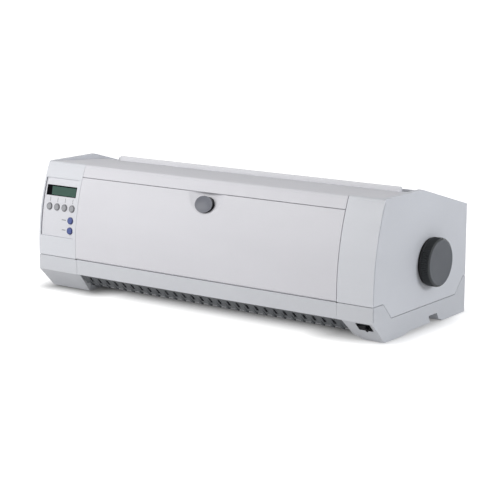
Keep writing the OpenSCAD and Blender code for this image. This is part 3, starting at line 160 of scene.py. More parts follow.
def plastic(name, colour, rough, grain=1500.0, depth=0.25, blotch=0.02, specular=0.4):
    """Moulded plastic: spark-eroded grain, faint flow marks, uneven gloss."""
    m, tree, shader, coord = start_material(name)
    flow = noise(tree, coord, 9.0, 4.0, stretch=(0.5, 1.0, 1.6))
    speck = noise(tree, coord, grain * 0.45, 2.0)
    factor = remap(tree, weighted(tree, flow, 0.7, speck, 0.3), 0.35, 0.65, 0.0, 1.0)
    tint = blend_colour(tree, factor, shade(colour, 1 - blotch), shade(colour, 1 + blotch))
    feed(tree, shader.inputs["Base Color"], tint)
    gloss = noise(tree, coord, 35.0, 5.0)
    feed(tree, shader.inputs["Roughness"], remap(tree, gloss, 0.3, 0.7, rough - 0.05, rough + 0.05))
    shader.inputs["Specular IOR Level"].default_value = specular
    fine = noise(tree, coord, grain, 3.0, 0.6)
    cells = tree.nodes.new("ShaderNodeTexVoronoi")
    cells.inputs["Scale"].default_value = grain * 0.6
    tree.links.new(coord, cells.inputs["Vector"])
    height = math_node(tree, "ADD", fine, math_node(tree, "MULTIPLY", cells.outputs["Distance"], 0.5))
    add_bump(tree, shader, height, depth, 0.00012)
    return m


def metal(name, colour, rough, brushed=None, metallic=1.0):
    """Rolled or turned metal, with drawn lines along one axis and light stains."""
    m, tree, shader, coord = start_material(name)
    stain = noise(tree, coord, 22.0, 5.0, 0.6)
    lines = noise(tree, coord, 900.0, 3.0, 0.6, stretch=brushed or (1, 1, 1))
    factor = remap(tree, stain, 0.3, 0.7, 0.0, 1.0)
    tint = blend_colour(tree, factor, shade(colour, 0.9), shade(colour, 1.06))
    feed(tree, shader.inputs["Base Color"], tint)
    shader.inputs["Metallic"].default_value = metallic
    both = weighted(tree, stain, 0.4, lines, 0.6)
    feed(tree, shader.inputs["Roughness"], remap(tree, both, 0.3, 0.7, rough - 0.08, rough + 0.1))
    add_bump(tree, shader, lines, 0.12, 0.00005)
    return m


def rubber(name, colour):
    """Dull rubber with light dust."""
    m, tree, shader, coord = start_material(name)
    dust = noise(tree, coord, 60.0, 6.0, 0.65)
    factor = remap(tree, dust, 0.45, 0.75, 0.0, 1.0)
    feed(tree, shader.inputs["Base Color"], blend_colour(tree, factor, colour, shade(colour, 1.9)))
    feed(tree, shader.inputs["Roughness"], remap(tree, dust, 0.3, 0.7, 0.62, 0.85))
    add_bump(tree, shader, noise(tree, coord, 1200.0, 3.0), 0.3, 0.0001)
    return m


def screen(name, colour):
    """Coloured, glossy and slightly smeared pane that hides what is behind it."""
    m, tree, shader, coord = start_material(name)
    smear = noise(tree, coord, 80.0, 4.0)
    feed(tree, shader.inputs["Roughness"], remap(tree, smear, 0.35, 0.65, 0.08, 0.16))
    tint = blend_colour(tree, smear, shade(colour, 0.94), shade(colour, 1.06))
    feed(tree, shader.inputs["Base Color"], tint)
    return m


MAT = {
    "cover": plastic("cover_plastic", (0.745, 0.738, 0.772), 0.50),
    "shell": plastic("shell_plastic", (0.735, 0.745, 0.780), 0.52),
    "sill": plastic("base_plastic", (0.665, 0.675, 0.705), 0.5),
    "panel": plastic("panel_plastic", (0.74, 0.74, 0.775), 0.5),
    "ridge": plastic("ridge_plastic", (0.84, 0.84, 0.86), 0.42),
    "grille": plastic("grille_plastic", (0.088, 0.094, 0.103), 0.6),
    # grey key bodies dark as painted shade round their pale caps
    "key": plastic("key_plastic", (0.19, 0.19, 0.2), 0.4, depth=0.12),
    "latch": plastic("latch_plastic", (0.160, 0.166, 0.192), 0.42, depth=0.15),
    "knob": plastic("knob_plastic", (0.108, 0.115, 0.128), 0.5, depth=0.2, specular=0.3),
    # blue key bodies darker as painted shade round their caps
    "blue": plastic("blue_plastic", (0.045, 0.055, 0.20), 0.3, depth=0.1),
    "black": plastic("black_plastic", (0.012, 0.012, 0.014), 0.4),
    # darker than the knob's cap partly as painted shade on the knob's side
    "grip": plastic("grip_plastic_and_painted_shade", (0.034, 0.038, 0.040), 0.55),
    "key_cap": plastic("key_cap_plastic", (0.36, 0.365, 0.385), 0.4, depth=0.12),
    # the blue cap's paler tone is partly a painted highlight
    "blue_cap": plastic("blue_cap_plastic", (0.085, 0.12, 0.32), 0.3, depth=0.1),
    "mask": plastic("mask_black", (0.004, 0.0045, 0.0055), 0.5, depth=0.05, specular=0.02),
    "rocker": plastic("rocker_plastic", (0.008, 0.008, 0.010), 0.4, depth=0.1, specular=0.05),
    "ink": plastic("panel_ink", (0.16, 0.165, 0.175), 0.6, depth=0.05),
    "dark": plastic("dark_plastic", (0.03, 0.03, 0.033), 0.5),
    "white": plastic("acetal", (0.66, 0.65, 0.61), 0.4, depth=0.1),
    "red": plastic("red_plastic", (0.35, 0.045, 0.03), 0.4),
    "rubber": rubber("rubber", (0.016, 0.016, 0.017)),
    "platen": rubber("platen_rubber", (0.02, 0.02, 0.021)),
    "steel": metal("steel_sheet", (0.5, 0.5, 0.5), 0.38, (0.05, 1, 1)),
    "rod": metal("ground_steel", (0.6, 0.6, 0.61), 0.2, (1, 0.03, 0.03)),
    "brass": metal("brass", (0.56, 0.4, 0.14), 0.32),
    "motor": metal("motor_case", (0.05, 0.05, 0.055), 0.45, (0.05, 1, 1), 0.6),
    "board": plastic("board_green", (0.012, 0.085, 0.035), 0.35, depth=0.1),
    "display": plastic("display", (0.03, 0.06, 0.05), 0.3),
    "window": screen("display_window", (0.040, 0.098, 0.074)),
}


# The nodes that each material dresses.
NODES_OF = {
    "cover": "top_cover front_door",
    "shell": "upper_housing rear_cover",
    "sill": "front_sill base_housing",
    "panel": "operator_panel",
    "ridge": "tear_bar",
    "grille": "intake_grille",
    "key": "key_1 key_2 key_3 key_4",
    "latch": "latch_button",
    "knob": "platen_knob",
    "blue": "key_blue_upper key_blue_lower",
    "black": "rear_connectors ribbon_cassette",
    "mask": "power_switch",
    "rocker": "power_rocker",
    "dark": "carriage print_head tractor_left tractor_right tractor_lid_left tractor_lid_right",
    "white": "platen_gear idler_gear tractor_gear pin_wheel_left pin_wheel_right",
    "red": "ribbon_knob",
    "rubber": "rubber_feet carriage_belt",
    "platen": "platen_roller",
    "steel": "side_frame_left side_frame_right front_crossbar guide_rail paper_guide power_supply idler_post",
    "rod": "hinge_pins platen_shaft tractor_shaft support_shaft carriage_shaft motor_pulley idler_pulley"
           " paper_bail chassis_screws",
    "brass": "platen_bushes motor_pinion",
    "motor": "line_feed_motor carriage_motor",
    "board": "main_board panel_board",
    "display": "lcd_module",
    "window": "lcd_window",
}

# Bevel widths in millimetres; the others get the small one.
BEVEL = {
    "base_housing": 1.0, "upper_housing": 1.0, "top_cover": 0.7, "rear_cover": 0.8, "front_door": 0.8,
    "front_sill": 0.5, "operator_panel": 0.4, "tear_bar": 0.4, "intake_grille": 0.3, "rubber_feet": 0.5,
    "power_switch": 0.4, "power_rocker": 0.4,
}
SMALL_BEVEL = 0.25
BEVEL_ANGLE = math.radians(32)
SHARP_ANGLE = math.radians(35)
WELD_DISTANCE = 1e-5
# Faces that differ by less than this angle are merged before the bevel.
FLAT_ANGLE = {"upper_housing": math.radians(0.005)}
USUAL_FLAT_ANGLE = math.radians(0.02)


def smooth_by_angle():
    """Geometry nodes that shade smooth, with the edges over SHARP_ANGLE sharp."""
    group = bpy.data.node_groups.new("smooth_by_angle", "GeometryNodeTree")
    group.interface.new_socket("Geometry", in_out="INPUT", socket_type="NodeSocketGeometry")
    group.interface.new_socket("Geometry", in_out="OUTPUT", socket_type="NodeSocketGeometry")
    into = group.nodes.new("NodeGroupInput")
    out = group.nodes.new("NodeGroupOutput")
    faces = group.nodes.new("GeometryNodeSetShadeSmooth")
    edges = group.nodes.new("GeometryNodeSetShadeSmooth")
    edges.domain = "EDGE"
    edges.inputs["Shade Smooth"].default_value = False
    angle = group.nodes.new("GeometryNodeInputMeshEdgeAngle")
    compare = group.nodes.new("FunctionNodeCompare")
    compare.data_type = "FLOAT"
    compare.operation = "GREATER_THAN"
    compare.inputs["B"].default_value = SHARP_ANGLE
    link = group.links.new
    link(angle.outputs["Unsigned Angle"], compare.inputs["A"])
    link(into.outputs[0], faces.inputs["Geometry"])
    link(faces.outputs["Geometry"], edges.inputs["Geometry"])
    link(compare.outputs["Result"], edges.inputs["Selection"])
    link(edges.outputs["Geometry"], out.inputs[0])
    return group


SMOOTH = smooth_by_angle()


def merge_flat(obj):
    """Joins the small triangles of a flat face, so that a bevel runs clean along its edge."""
    weld = obj.modifiers.new("weld", "WELD")
    weld.merge_threshold = WELD_DISTANCE
    flat = obj.modifiers.new("flat", "DECIMATE")
    flat.decimate_type = "DISSOLVE"
    flat.angle_limit = FLAT_ANGLE.get(obj.name, USUAL_FLAT_ANGLE)


def finish_edges(obj, width):
    """Rounds the edges of a piece and gives it clean normals."""
    if width:
        bevel = obj.modifiers.new("bevel", "BEVEL")
        bevel.width = width * MM
        bevel.segments = 2
        bevel.limit_method = "ANGLE"
        bevel.angle_limit = BEVEL_ANGLE
    smooth = obj.modifiers.new("smooth", "NODES")
    smooth.node_group = SMOOTH
    normals = obj.modifiers.new("normals", "WEIGHTED_NORMAL")
    normals.keep_sharp = True


for key, names in NODES_OF.items():
    for name in names.split():
        obj = nodes[name]
        if not obj.material_slots:
            obj.data.materials.append(MAT[key])
        for slot in obj.material_slots:
            slot.material = MAT[key]
        if "custom_normal" in obj.data.attributes:
            obj.data.attributes.remove(obj.data.attributes["custom_normal"])
        merge_flat(obj)
        finish_edges(obj, BEVEL.get(name, SMALL_BEVEL))


# ---------- pieces ----------
def piece(name, verts, faces, material, body, slot, bevel=0.0):
    """A mesh that rides on a body; the bevel is in millimetres."""
    mesh = bpy.data.meshes.new(name)
    mesh.from_pydata([tuple(v) for v in verts], [], faces)
    mesh.validate()
    bm = bmesh.new()
    bm.from_mesh(mesh)
    bmesh.ops.recalc_face_normals(bm, faces=bm.faces)
    bm.to_mesh(mesh)
    bm.free()
    mesh.materials.append(MAT[material])
    obj = bpy.data.objects.new(name, mesh)
    bpy.context.scene.collection.objects.link(obj)
    finish_edges(obj, bevel)
    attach(obj, body)
    return obj


def skin(rings, caps=True):
    """Faces between rings of the same number of points; caps close both ends."""
    count = len(rings[0])
    verts = [v for ring in rings for v in ring]
    faces = []
    for i in range(len(rings) - 1):
        for j in range(count):
            k = (j + 1) % count
            faces.append((i * count + j, i * count + k, (i + 1) * count + k, (i + 1) * count + j))
    if caps:
        faces.append(tuple(range(count)))
        faces.append(tuple((len(rings) - 1) * count + j for j in range(count)))
    return verts, faces


def join(*parts):
    """Several meshes as one."""
    verts, faces = [], []
    for v, f in parts:
        faces += [tuple(i + len(verts) for i in face) for face in f]
        verts += v
    return verts, faces


def slab(frame_at, u0, u1, v0, v1, w0, w1):
    """A box between two corners in a local frame."""
    rings = [[frame_at(u, v, w) for u, v in ((u0, v0), (u1, v0), (u1, v1), (u0, v1))] for w in (w0, w1)]
    return skin(rings)


def angles(count):
    """Equal steps round a full turn."""
    return [2 * math.pi * j / count for j in range(count)]


def turned_x(profile, y, z, count=96, caps=True):
    """A turned shape along X. A profile point is x, r and, for a toothed one, how deep the teeth cut it."""
    rings = []
    for x, r, *cut in profile:
        ring = []
        for j, a in enumerate(angles(count)):
            gap = cut and j % TOOTH_STEPS < TOOTH_STEPS // 2
            deep = r - cut[0] if gap else r
            ring.append(place(x, y + deep * math.cos(a), z + deep * math.sin(a)))
        rings.append(ring)
    return skin(rings, caps)


def disc(frame_at, profile, a=1.0, b=1.0, count=64):
    """A turned shape along a local frame's third axis, stretched to an oval of half axes a and b."""
    turn = angles(count)
    return skin([[frame_at(a * r * math.cos(t), b * r * math.sin(t), w) for t in turn] for w, r in profile])


def on_face(x, z, lean=None):
    """A frame on the front face: u across, v up the face, w outwards."""
    a = front_lean(z) if lean is None else lean
    at = place(x, front_y(z), z)
    up = Vector((0, math.sin(a), math.cos(a))) * MM
    out = Vector((0, -math.cos(a), math.sin(a))) * MM
    return lambda u, v, w: at + Vector((u * MM, 0, 0)) + up * v + out * w


def face_patch(x0, x1, z0, z1, w0, w1, steps=8):
    """A thin plate that follows the curved front face."""
    corners = ((x0, w0), (x1, w0), (x1, w1), (x0, w1))
    heights = [z0 + (z1 - z0) * k / steps for k in range(steps + 1)]
    return skin([[face_point(x, z, w) for x, w in corners] for z in heights])


# Knob of the platen: a cap with a rounded rim, a knurled grip and a dark neck, in a collar of the housing.
# The grip's dark tone is partly painted shade on the knob's side, and the neck's black back ring is painted
# shade.
KNOB_Y, KNOB_Z = 155, 98
TOOTH_STEPS = 4
TOOTH_DEPTH = 1.1
TEETH = 80
cap = [
    (330.5, 33.1), (333.5, 33.1), (333.8, 32.8), (333.95, 32.2), (333.95, 31.6), (333.8, 30.9),
    (333.65, 29.8), (333.55, 20), (333.5, 8), (333.5, 1),
]
knob = piece("knob_cap", *turned_x(cap, KNOB_Y, KNOB_Z), "knob", "platen", "grey_plastic")
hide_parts("platen_knob")
grip = [
    (319.6, 34.2), (320.0, 35.4), (320.4, 35.9, TOOTH_DEPTH), (330.8, 35.9, TOOTH_DEPTH), (331.8, 35.55),
    (332.6, 34.95), (333.2, 34.1), (333.45, 33.3), (333.3, 32.8),
]
shape = turned_x(grip, KNOB_Y, KNOB_Z, TEETH * TOOTH_STEPS)
piece("knob_grip", *shape, "grip", "platen", "black_plastic")
# the black of the neck's back ring, next to the grip, is painted shade of the knob's back
neck = [
    (310.9, 33.2), (311.3, 33.8), (316.9, 33.8), (317.4, 34.4), (317.8, 35.3), (318.3, 35.8),
    (320.1, 35.8), (320.5, 35.3), (320.7, 34.0),
]
piece("knob_neck", *turned_x(neck, KNOB_Y, KNOB_Z), "black", "platen", "black_plastic")
collar = [(313.0, 34.3), (314.9, 34.3), (315.05, 34.6), (315.05, 37.1), (314.9, 37.4), (313.0, 37.4)]
shape = turned_x(collar + collar[:1], KNOB_Y, KNOB_Z, caps=False)
piece("knob_collar", *shape, "shell", "housing", "shell_plastic")

# Push button of the front door: a dished oval cap on a dark skirt with its flange and tongue. The skirt's
# black, seen in the gap round the cap, is painted shade of that gap.
LATCH_X, LATCH_Z = 10, 169.5
LATCH_A, LATCH_B = 15.5, 12.25
at = on_face(LATCH_X, LATCH_Z)
cap = [
    (-2.0, 0.9), (0.9, 0.94), (1.25, 0.98), (1.6, 1.03), (2.0, 1.05), (2.3, 1.04), (2.47, 1.005),
    (2.5, 0.965), (2.4, 0.91), (2.1, 0.85), (1.75, 0.76), (1.35, 0.62), (1.05, 0.48), (0.8, 0.3),
    (0.7, 0.12), (0.7, 0.01),
]
latch = piece("latch_cap", *disc(at, cap, LATCH_A, LATCH_B), "latch", "latch", "grey_plastic")
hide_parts("latch_button")
# the skirt is black as painted shade in the gap round the cap
skirt = [(-12.2, 0.99), (-1.2, 0.99), (0.0, 0.985), (0.3, 0.96), (0.45, 0.93)]
flange = [(-13.5, 1.09), (-12.1, 1.09)]
tongue = slab(at, -6, 6, 4, 7, -21, -12)
shape = join(disc(at, skirt, LATCH_A, LATCH_B), disc(at, flange, LATCH_A, LATCH_B), tongue)
piece("latch_skirt", *shape, "black", "latch", "black_plastic")

# Keys: a pale dished cap in the dark body of each key. The dark ring of the body round each cap is painted
# shade of the gap and the key's edge, and the blue caps' paler tone is partly a painted highlight.
PANEL_LEAN = front_lean(135.5)
KEY_X = (-298, -282, -266, -250)
GREY = ("key_cap", "grey_plastic")
BLUE = ("blue_cap", "blue_plastic")
KEYS = [(f"key_{i + 1}", x, 136.6, GREY) for i, x in enumerate(KEY_X)]
KEYS += [("key_blue_upper", -251, 118, BLUE), ("key_blue_lower", -251, 102, BLUE)]
DOME = [
    (-1.2, 4.35), (-0.5, 4.35), (-0.3, 4.2), (-0.2, 3.9), (-0.35, 3.2), (-0.5, 2.0), (-0.55, 0.6),
    (-0.55, 0.1),
]
for name, x, z, (look, slot) in KEYS:
    piece(name + "_cap", *disc(on_face(x, z, PANEL_LEAN), DOME, count=48), look, name, slot)

# Ridge of the power rocker, on the leaned rocker itself. The bevel of the foot starts at UNDERCUT.
UNDERCUT = 34
ROCKER_AT = (297.75, 6.75)
ROCKER_LEAN = math.radians(8)
ROCKER_SINK = 3
RIDGE_AT = 4.2
RIDGE_HALF = (2.3, 4.9)


def on_rocker(u, v, w):
    """A frame on the rocker: u across, v up the bevel, w outwards."""
    across = u * math.cos(ROCKER_LEAN) + w * math.sin(ROCKER_LEAN)
    out = w * math.cos(ROCKER_LEAN) - u * math.sin(ROCKER_LEAN) - ROCKER_SINK
    slope = math.sqrt(0.5)
    x, y = ROCKER_AT
    return place(x + across, y - (v + out) * slope, UNDERCUT - y + (v - out) * slope)


rings = []
for w, inset in ((2.8, 0), (7.6, 0), (8.3, 0.35), (8.7, 1.0)):
    a, b = (half - inset for half in RIDGE_HALF)
    rings.append([on_rocker(RIDGE_AT + a * math.cos(t), b * math.sin(t), w) for t in angles(24)])
piece("rocker_ridge", *skin(rings), "rocker", "rocker", "black_plastic")

# Printed marks of the operator panel: a line over each grey key, and one beside each blue key.
MARK_DEPTH = (-2.2, -1.93)
LINE_HALF = 0.35
TICK_END, TICK_HALF = -260.5, 0.55
marks = [face_patch(x - LINE_HALF, x + LINE_HALF, 144.5, 151.5, *MARK_DEPTH) for x in KEY_X]
for z, length in ((117.8, 9), (102.0, 7.5)):
    marks.append(face_patch(TICK_END - length, TICK_END, z - TICK_HALF, z + TICK_HALF, *MARK_DEPTH, 1))
piece("panel_marks", *join(*marks), "ink", "housing", "dark_plastic")

# The display: a dark mask round the lit field, whose edges are FIELD_X and FIELD_Z. The wide band at the left
# is the display's own black edge; the thin bands along the top and bottom are painted shade of the window's
# deep recess.
LCD_X, LCD_Z = -277, 162
at = on_face(LCD_X, LCD_Z, PANEL_LEAN)
HALF_X, HALF_Z = 31.3, 8.3
FIELD_X = (10.8 - HALF_X, HALF_X - 1.1)
FIELD_Z = (1.0 - HALF_Z, HALF_Z - 1.9)
MASK_DEPTH = (-2.6, -2.22)
shape = join(
    slab(at, -HALF_X, FIELD_X[0], -HALF_Z, HALF_Z, *MASK_DEPTH),
    slab(at, FIELD_X[0], HALF_X, FIELD_Z[1], HALF_Z, *MASK_DEPTH),
    slab(at, FIELD_X[0], HALF_X, -HALF_Z, FIELD_Z[0], *MASK_DEPTH),
    slab(at, FIELD_X[1], HALF_X, *FIELD_Z, *MASK_DEPTH),
)
# black mask: painted shade along the field's top and bottom, the display's own black at its left
piece("lcd_mask", *shape, "mask", "housing", "black_plastic", 0.05)

# Buffers in the gaps at the door's lower corners.
BUFFER_X, BUFFER_Z = (-236.9, 255.3), 57.6
BUFFER = [(-3.0, 1.3), (-0.3, 1.3), (-0.1, 1.15), (-0.05, 0.4)]
buffers = [disc(on_face(x, BUFFER_Z), BUFFER, 1.1, 0.9, 16) for x in BUFFER_X]
piece("door_buffers", *join(*buffers), "mask", "housing", "rubber")

# The back: fastening screws with cross slots, air slots, the port's metal shell and the inlet's blades.
BACK_Y = 263
PORT_X, PORT_Z = -157, 27
INLET_X, INLET_Z = 194, 30


def on_back(x, z):
    """A frame on the rear wall: u to the viewer's right, v up, w outwards."""
    at = place(x, BACK_Y, z)
    return lambda u, v, w: at + Vector((-u, w, v)) * MM


def screw_head(at, r):
    """A raised head; four quarters fill its middle and leave a cross between them."""
    rim = [(-0.6, r), (0.1, r), (0.35, r * 0.93), (0.4, r * 0.8)]
    rim += [(0.4, r * 0.72), (0.1, r * 0.68), (0.05, 0.1)]
    parts = [disc(at, rim, count=32)]
    inner, outer = 0.16 * r, 0.72 * r
    turn = [math.radians(14 + 12.4 * k) for k in range(6)]
    arc = [(inner, inner)] + [(outer * math.cos(t), outer * math.sin(t)) for t in turn]
    for a, b in ((1, 0), (0, 1), (-1, 0), (0, -1)):
        parts.append(skin([[at(u * a - v * b, u * b + v * a, w) for u, v in arc] for w in (-0.2, 0.42)]))
    return join(*parts)


CASE_SCREW, PORT_SCREW = 3.4, 2.2
screws = [screw_head(on_back(x, z), CASE_SCREW) for x in (-296, 296) for z in (48, 146)]
screws += [screw_head(on_back(x, PORT_Z), PORT_SCREW) for x in (-196, -118)]
piece("rear_screws", *join(*screws), "rod", "housing", "steel")

# Each air slot is a thin black oval on the wall, its black painted shade of the slot's depth.
SLOT_PITCH, SLOT_Z = 8, 30
SLOT = [(-0.5, 1.0), (0.08, 1.0), (0.1, 0.9), (0.1, 0.1)]
slot_x = [first - SLOT_PITCH * k for first, count in ((96, 9), (-66, 6)) for k in range(count)]
slots = [disc(on_back(x, SLOT_Z), SLOT, 1.7, 11, 24) for x in slot_x]
piece("rear_air_slots", *join(*slots), "mask", "housing", "dark_plastic")

# The port's shell is wider at the top by PORT_TAPER on each side.
PORT_HALF = (25, 4.4)
PORT_TAPER = 2.5
port = on_back(PORT_X, PORT_Z)
shell = []
for w, inset in ((-9.5, 0.0), (-2.0, 0.0), (-2.0, 1.0), (-9.5, 1.0)):
    a, b = (half - inset for half in PORT_HALF)
    low = a - PORT_TAPER
    shell.append([port(u, v, w) for u, v in ((-a, b), (a, b), (low, -b), (-low, -b))])
piece("data_port_shell", *skin(shell + shell[:1], caps=False), "rod", "housing", "steel", 0.2)
CONTACT_PITCH, CONTACT_WIDTH, CONTACT_HALF = 2.4, 1.2, 0.25
contacts = []
for k in range(18):
    u = -20.4 + CONTACT_PITCH * k
    for v in (-2.0, 2.0):
        contacts.append(slab(port, u, u + CONTACT_WIDTH, v - CONTACT_HALF, v + CONTACT_HALF, -9.0, -2.7))
piece("data_port_contacts", *join(*contacts), "brass", "housing", "brass")
blades = []
for dx, dz in ((-6.4, 0), (0, 2.5), (6.4, 0)):
    blades.append(slab(on_back(INLET_X + dx, INLET_Z + dz), -1.15, 1.15, -2.15, 2.15, -14.5, -3.7))
piece("inlet_blades", *join(*blades), "rod", "housing", "steel", 0.3)

# The main board's chips with their legs, its sockets, heat sink and cans. The CAD has them as plain blocks,
# so each form here is larger than its block by COAT. x and y are counted from the board's corner.
BOARD_X, BOARD_Y, BOARD_Z = -196, 116, 15.6
COAT = 0.15
LEG_PITCH = 2.54
LEG_HALF = (0.4, 0.9)
LEG_HEIGHT = (-0.2, 1.7)
LEG_GAP = 0.9


def on_board(x, y):
    """A frame on the main board: u to the right, v to the back, w up."""
    at = place(BOARD_X + x, BOARD_Y + y, BOARD_Z)
    return lambda u, v, w: at + Vector((u, v, w)) * MM


def coated(x, y, width, depth, height):
    """A form just over a block of the CAD."""
    return slab(on_board(x, y), -COAT, width + COAT, -COAT, depth + COAT, -0.1, height + COAT)


def leg_row(start, end, other, along_x):
    """Legs from start to end along one axis of the board, at one place on the other."""
    count = int((end - start - 1) / LEG_PITCH)
    middle = (start + end) / 2
    row = []
    for k in range(count):
        spot = middle + (k - (count - 1) / 2) * LEG_PITCH
        at = on_board(spot, other) if along_x else on_board(other, spot)
        a, b = LEG_HALF if along_x else LEG_HALF[::-1]
        row.append(slab(at, -a, a, -b, b, *LEG_HEIGHT))
    return row


# each socket has a raised cell for about every 4 mm of its length
CELL, CELL_HALF, CELL_RISE = 4, 1.2, 1.4
sockets = []
for x, y, width, depth, height in ((116, 16, 24, 10, 12), (226, 74, 16, 30, 8), (46, 74, 60, 12, 10)):
    sockets.append(coated(x, y, width, depth, height))
    length = max(width, depth)
    count = int(length / CELL)
    for k in range(count):
        u = (k + 0.5) * length / count
        at = on_board(x + u, y + depth / 2) if width > depth else on_board(x + width / 2, y + u)
        sockets.append(slab(at, -CELL_HALF, CELL_HALF, -CELL_HALF, CELL_HALF, height, height + CELL_RISE))
piece("board_sockets", *join(*sockets), "white", "housing", "white_plastic", 0.2)

SINK_X, SINK_Y = 176, 14
FIN_PITCH, FIN_THICK = 4.1, 1.4
sink = [coated(SINK_X, SINK_Y, 40, 14, 18)]
for k in range(10):
    u = 1 + FIN_PITCH * k
    sink.append(slab(on_board(SINK_X, SINK_Y), u, u + FIN_THICK, -2.4, 16.4, 3, 19.6))
piece("board_heat_sink", *join(*sink), "motor", "housing", "motor", 0.2)

# x, y, width, depth and height of each block, and whether it has legs on all four sides
CHIPS = (
    (26, 14, 30, 30, 4, True), (76, 24, 18, 44, 3, False), (136, 84, 12, 26, 3, False),
    (160, 84, 12, 26, 3, False),
)
chips, legs = [], []
for x, y, width, depth, height, all_round in CHIPS:
    chips.append(coated(x, y, width, depth, height))
    for side in (x - LEG_GAP, x + width + LEG_GAP):
        legs += leg_row(y, y + depth, side, False)
    if all_round:
        for side in (y - LEG_GAP, y + depth + LEG_GAP):
            legs += leg_row(x, x + width, side, True)
piece("board_chips", *join(*chips), "black", "housing", "black_plastic", 0.3)
piece("board_legs", *join(*legs), "rod", "housing", "steel")

# x, y, radius and height
CANS = (
    (20, 96, 6, 15), (34, 104, 6, 15), (105, 50, 4, 10), (105, 62, 4, 10), (252, 20, 5, 12), (252, 36, 5, 12),
    (120, 100, 4, 9),
)
cans = []
for x, y, r, h in CANS:
    waist = [(-0.2, r), (1.4, r), (1.7, r * 0.93), (2.2, r * 0.93), (2.5, r)]
    top = [(h - 0.5, r), (h, r * 0.93), (h, r * 0.7), (h - 0.3, r * 0.66), (h - 0.3, 0.1)]
    cans.append(disc(on_board(x, y), waist + top, count=32))
piece("board_cans", *join(*cans), "rod", "housing", "steel")


# ---------- stage, lights and camera ----------
def stage_mix(tree, shown, other):
    """One shader for camera, mirror and glass rays, and another for the rest."""
    path = tree.nodes.new("ShaderNodeLightPath")
    seen = math_node(tree, "MAXIMUM", path.outputs["Is Camera Ray"], path.outputs["Is Glossy Ray"])
    seen = math_node(tree, "MAXIMUM", seen, path.outputs["Is Transmission Ray"])
    mix = tree.nodes.new("ShaderNodeMixShader")
    feed(tree, mix.inputs["Fac"], seen)
    feed(tree, mix.inputs[1], other)
    feed(tree, mix.inputs[2], shown)
    return mix.outputs[0]


FLOOR_SIZE = 40
FLOOR_COLOUR = 0.80
# The floor glows up to white for the camera: FLOOR_LIFT near the object, the rest of it further away.
FLOOR_LIFT = 0.85
FAR = (0.45, 1.2)
# The glow fades over SHADE_WIDTH towards a rectangle under the object, given by its middle and half sizes: a
# painted shadow round the object.
SHADE_AT = (-0.025, 0.0)
SHADE_HALF = (0.285, 0.052)
SHADE_WIDTH = 0.08
# Round the feet at either side a painted contact shadow darkens the floor further, to these shares at the
# left and the right.
FEET_AT = (0.2665, 0.016)
FEET_HALF = (0.0385, 0.115)
FEET_WIDTH = 0.045
FEET_SHARE = (0.26, 0.72)
FEET_SPAN = (-0.3, 0.3)
AMBIENT = 0.24


def distance_to(tree, point, middle, half):
    """Distance on the floor from a rectangle, 0 inside it."""
    squares = []
    for value, m, h in zip(point, middle, half):
        off = math_node(tree, "ABSOLUTE", math_node(tree, "SUBTRACT", value, m))
        off = math_node(tree, "MAXIMUM", math_node(tree, "SUBTRACT", off, h), 0.0)
        squares.append(math_node(tree, "POWER", off, 2.0))
    return math_node(tree, "SQRT", math_node(tree, "ADD", *squares))


def make_floor():
    """A sheet that shows white, with a soft shadow round the object, partly cast by the lamps and partly
    painted, and lights it like plain paper.
    """
    mesh = bpy.data.meshes.new("floor")
    corners = [(-1, -1), (1, -1), (1, 1), (-1, 1)]
    mesh.from_pydata([(x * FLOOR_SIZE, y * FLOOR_SIZE, 0) for x, y in corners], [], [(0, 1, 2, 3)])
    floor = bpy.data.objects.new("floor", mesh)
    bpy.context.scene.collection.objects.link(floor)
    material = bpy.data.materials.new("floor_paper")
    material.use_nodes = True
    tree = material.node_tree
    tree.nodes.clear()
    where = tree.nodes.new("ShaderNodeNewGeometry").outputs["Position"]
    away = tree.nodes.new("ShaderNodeVectorMath")
    away.operation = "LENGTH"
    feed(tree, away.inputs[0], where)
    split = tree.nodes.new("ShaderNodeSeparateXYZ")
    feed(tree, split.inputs[0], where)
    x, y = split.outputs[0], split.outputs[1]

    far = remap(tree, away.outputs["Value"], *FAR, 0.0, 1.0 - FLOOR_LIFT)
    shade_gap = distance_to(tree, (x, y), SHADE_AT, SHADE_HALF)
    # painted shadow: the glow drops to nothing under and near the object
    near = remap(tree, shade_gap, 0.0, SHADE_WIDTH, 0.0, FLOOR_LIFT)
    mirrored = math_node(tree, "ABSOLUTE", math_node(tree, "SUBTRACT", x, MID_X))
    feet_gap = distance_to(tree, (mirrored, y), FEET_AT, FEET_HALF)
    share = remap(tree, x, *FEET_SPAN, *FEET_SHARE)
    # painted contact shadow round the feet, in the floor's colour and in its glow
    painted_contact_shade = remap(tree, feet_gap, 0.0, FEET_WIDTH, share, 1.0)
    paper = (FLOOR_COLOUR,) * 3

    matt = tree.nodes.new("ShaderNodeBsdfDiffuse")
    feed(tree, matt.inputs["Color"], blend_colour(tree, painted_contact_shade, (0.0, 0.0, 0.0), paper))
    lift = tree.nodes.new("ShaderNodeEmission")
    glow = math_node(tree, "MULTIPLY", math_node(tree, "ADD", near, far), painted_contact_shade)
    feed(tree, lift.inputs["Strength"], glow)
    shown = tree.nodes.new("ShaderNodeAddShader")
    feed(tree, shown.inputs[0], matt.outputs[0])
    feed(tree, shown.inputs[1], lift.outputs[0])
    bounce = tree.nodes.new("ShaderNodeBsdfDiffuse")
    feed(tree, bounce.inputs["Color"], paper)

    # seen from below, the floor lets the underside of the object be seen
    side = tree.nodes.new("ShaderNodeNewGeometry")
    clear = tree.nodes.new("ShaderNodeBsdfTransparent")
    cut = tree.nodes.new("ShaderNodeMixShader")
    feed(tree, cut.inputs["Fac"], side.outputs["Backfacing"])
    feed(tree, cut.inputs[1], stage_mix(tree, shown.outputs[0], bounce.outputs[0]))
    feed(tree, cut.inputs[2], clear.outputs[0])
    output = tree.nodes.new("ShaderNodeOutputMaterial")
    feed(tree, output.inputs["Surface"], cut.outputs[0])
    mesh.materials.append(material)


make_floor()

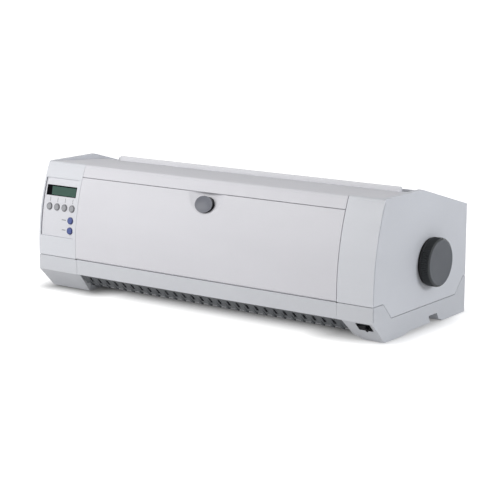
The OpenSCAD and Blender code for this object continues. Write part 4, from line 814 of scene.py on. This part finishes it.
world = bpy.data.worlds.new("studio")
bpy.context.scene.world = world
world.use_nodes = True
sky = world.node_tree
sky.nodes.clear()
white = sky.nodes.new("ShaderNodeBackground")
feed(sky, white.inputs["Strength"], 1.0)
soft = sky.nodes.new("ShaderNodeBackground")
feed(sky, soft.inputs["Color"], (0.97, 0.98, 1.0))
feed(sky, soft.inputs["Strength"], AMBIENT)
output = sky.nodes.new("ShaderNodeOutputWorld")
feed(sky, output.inputs["Surface"], stage_mix(sky, white.outputs[0], soft.outputs[0]))


LAMP_TARGET = Vector((0, 0, 0.1))


def lamp(name, direction, distance, size, level, colour=(1, 1, 1)):
    """A soft round lamp aimed at the object; at level 1 a white surface that faces it renders white."""
    light = bpy.data.lights.new(name, "AREA")
    light.shape = "DISK"
    light.size = size
    light.energy = level * (math.pi * distance) ** 2
    light.color = colour
    obj = bpy.data.objects.new(name, light)
    obj.location = LAMP_TARGET + Vector(direction).normalized() * distance
    obj.rotation_mode = "QUATERNION"
    obj.rotation_quaternion = (LAMP_TARGET - obj.location).to_track_quat("-Z", "Y")
    bpy.context.scene.collection.objects.link(obj)


lamp("key", (-0.40, -0.78, 0.53), 1.9, 1.3, 0.605)
lamp("fill", (0.92, 0.14, 0.32), 2.6, 0.8, 0.30, (0.93, 0.96, 1.0))
lamp("back", (0.15, 0.97, 0.14), 2.6, 0.8, 0.22, (0.95, 0.97, 1.0))

CAMERA_AT = (1.4093, -1.9220, 0.5682)
CAMERA_TILT = math.radians(78.455)
CAMERA_TURN = math.radians(36.265)
# Focal length over the picture's width
FOCAL_RATIO = 1566.3 / 500
SENSOR = 36.0
camera_data = bpy.data.cameras.new("camera")
camera_data.sensor_width = SENSOR
camera_data.lens = FOCAL_RATIO * SENSOR
camera = bpy.data.objects.new("camera", camera_data)
camera.location = CAMERA_AT
camera.rotation_euler = (CAMERA_TILT, 0, CAMERA_TURN)
bpy.context.scene.collection.objects.link(camera)
bpy.context.scene.camera = camera
bpy.context.scene.view_settings.view_transform = "Standard"
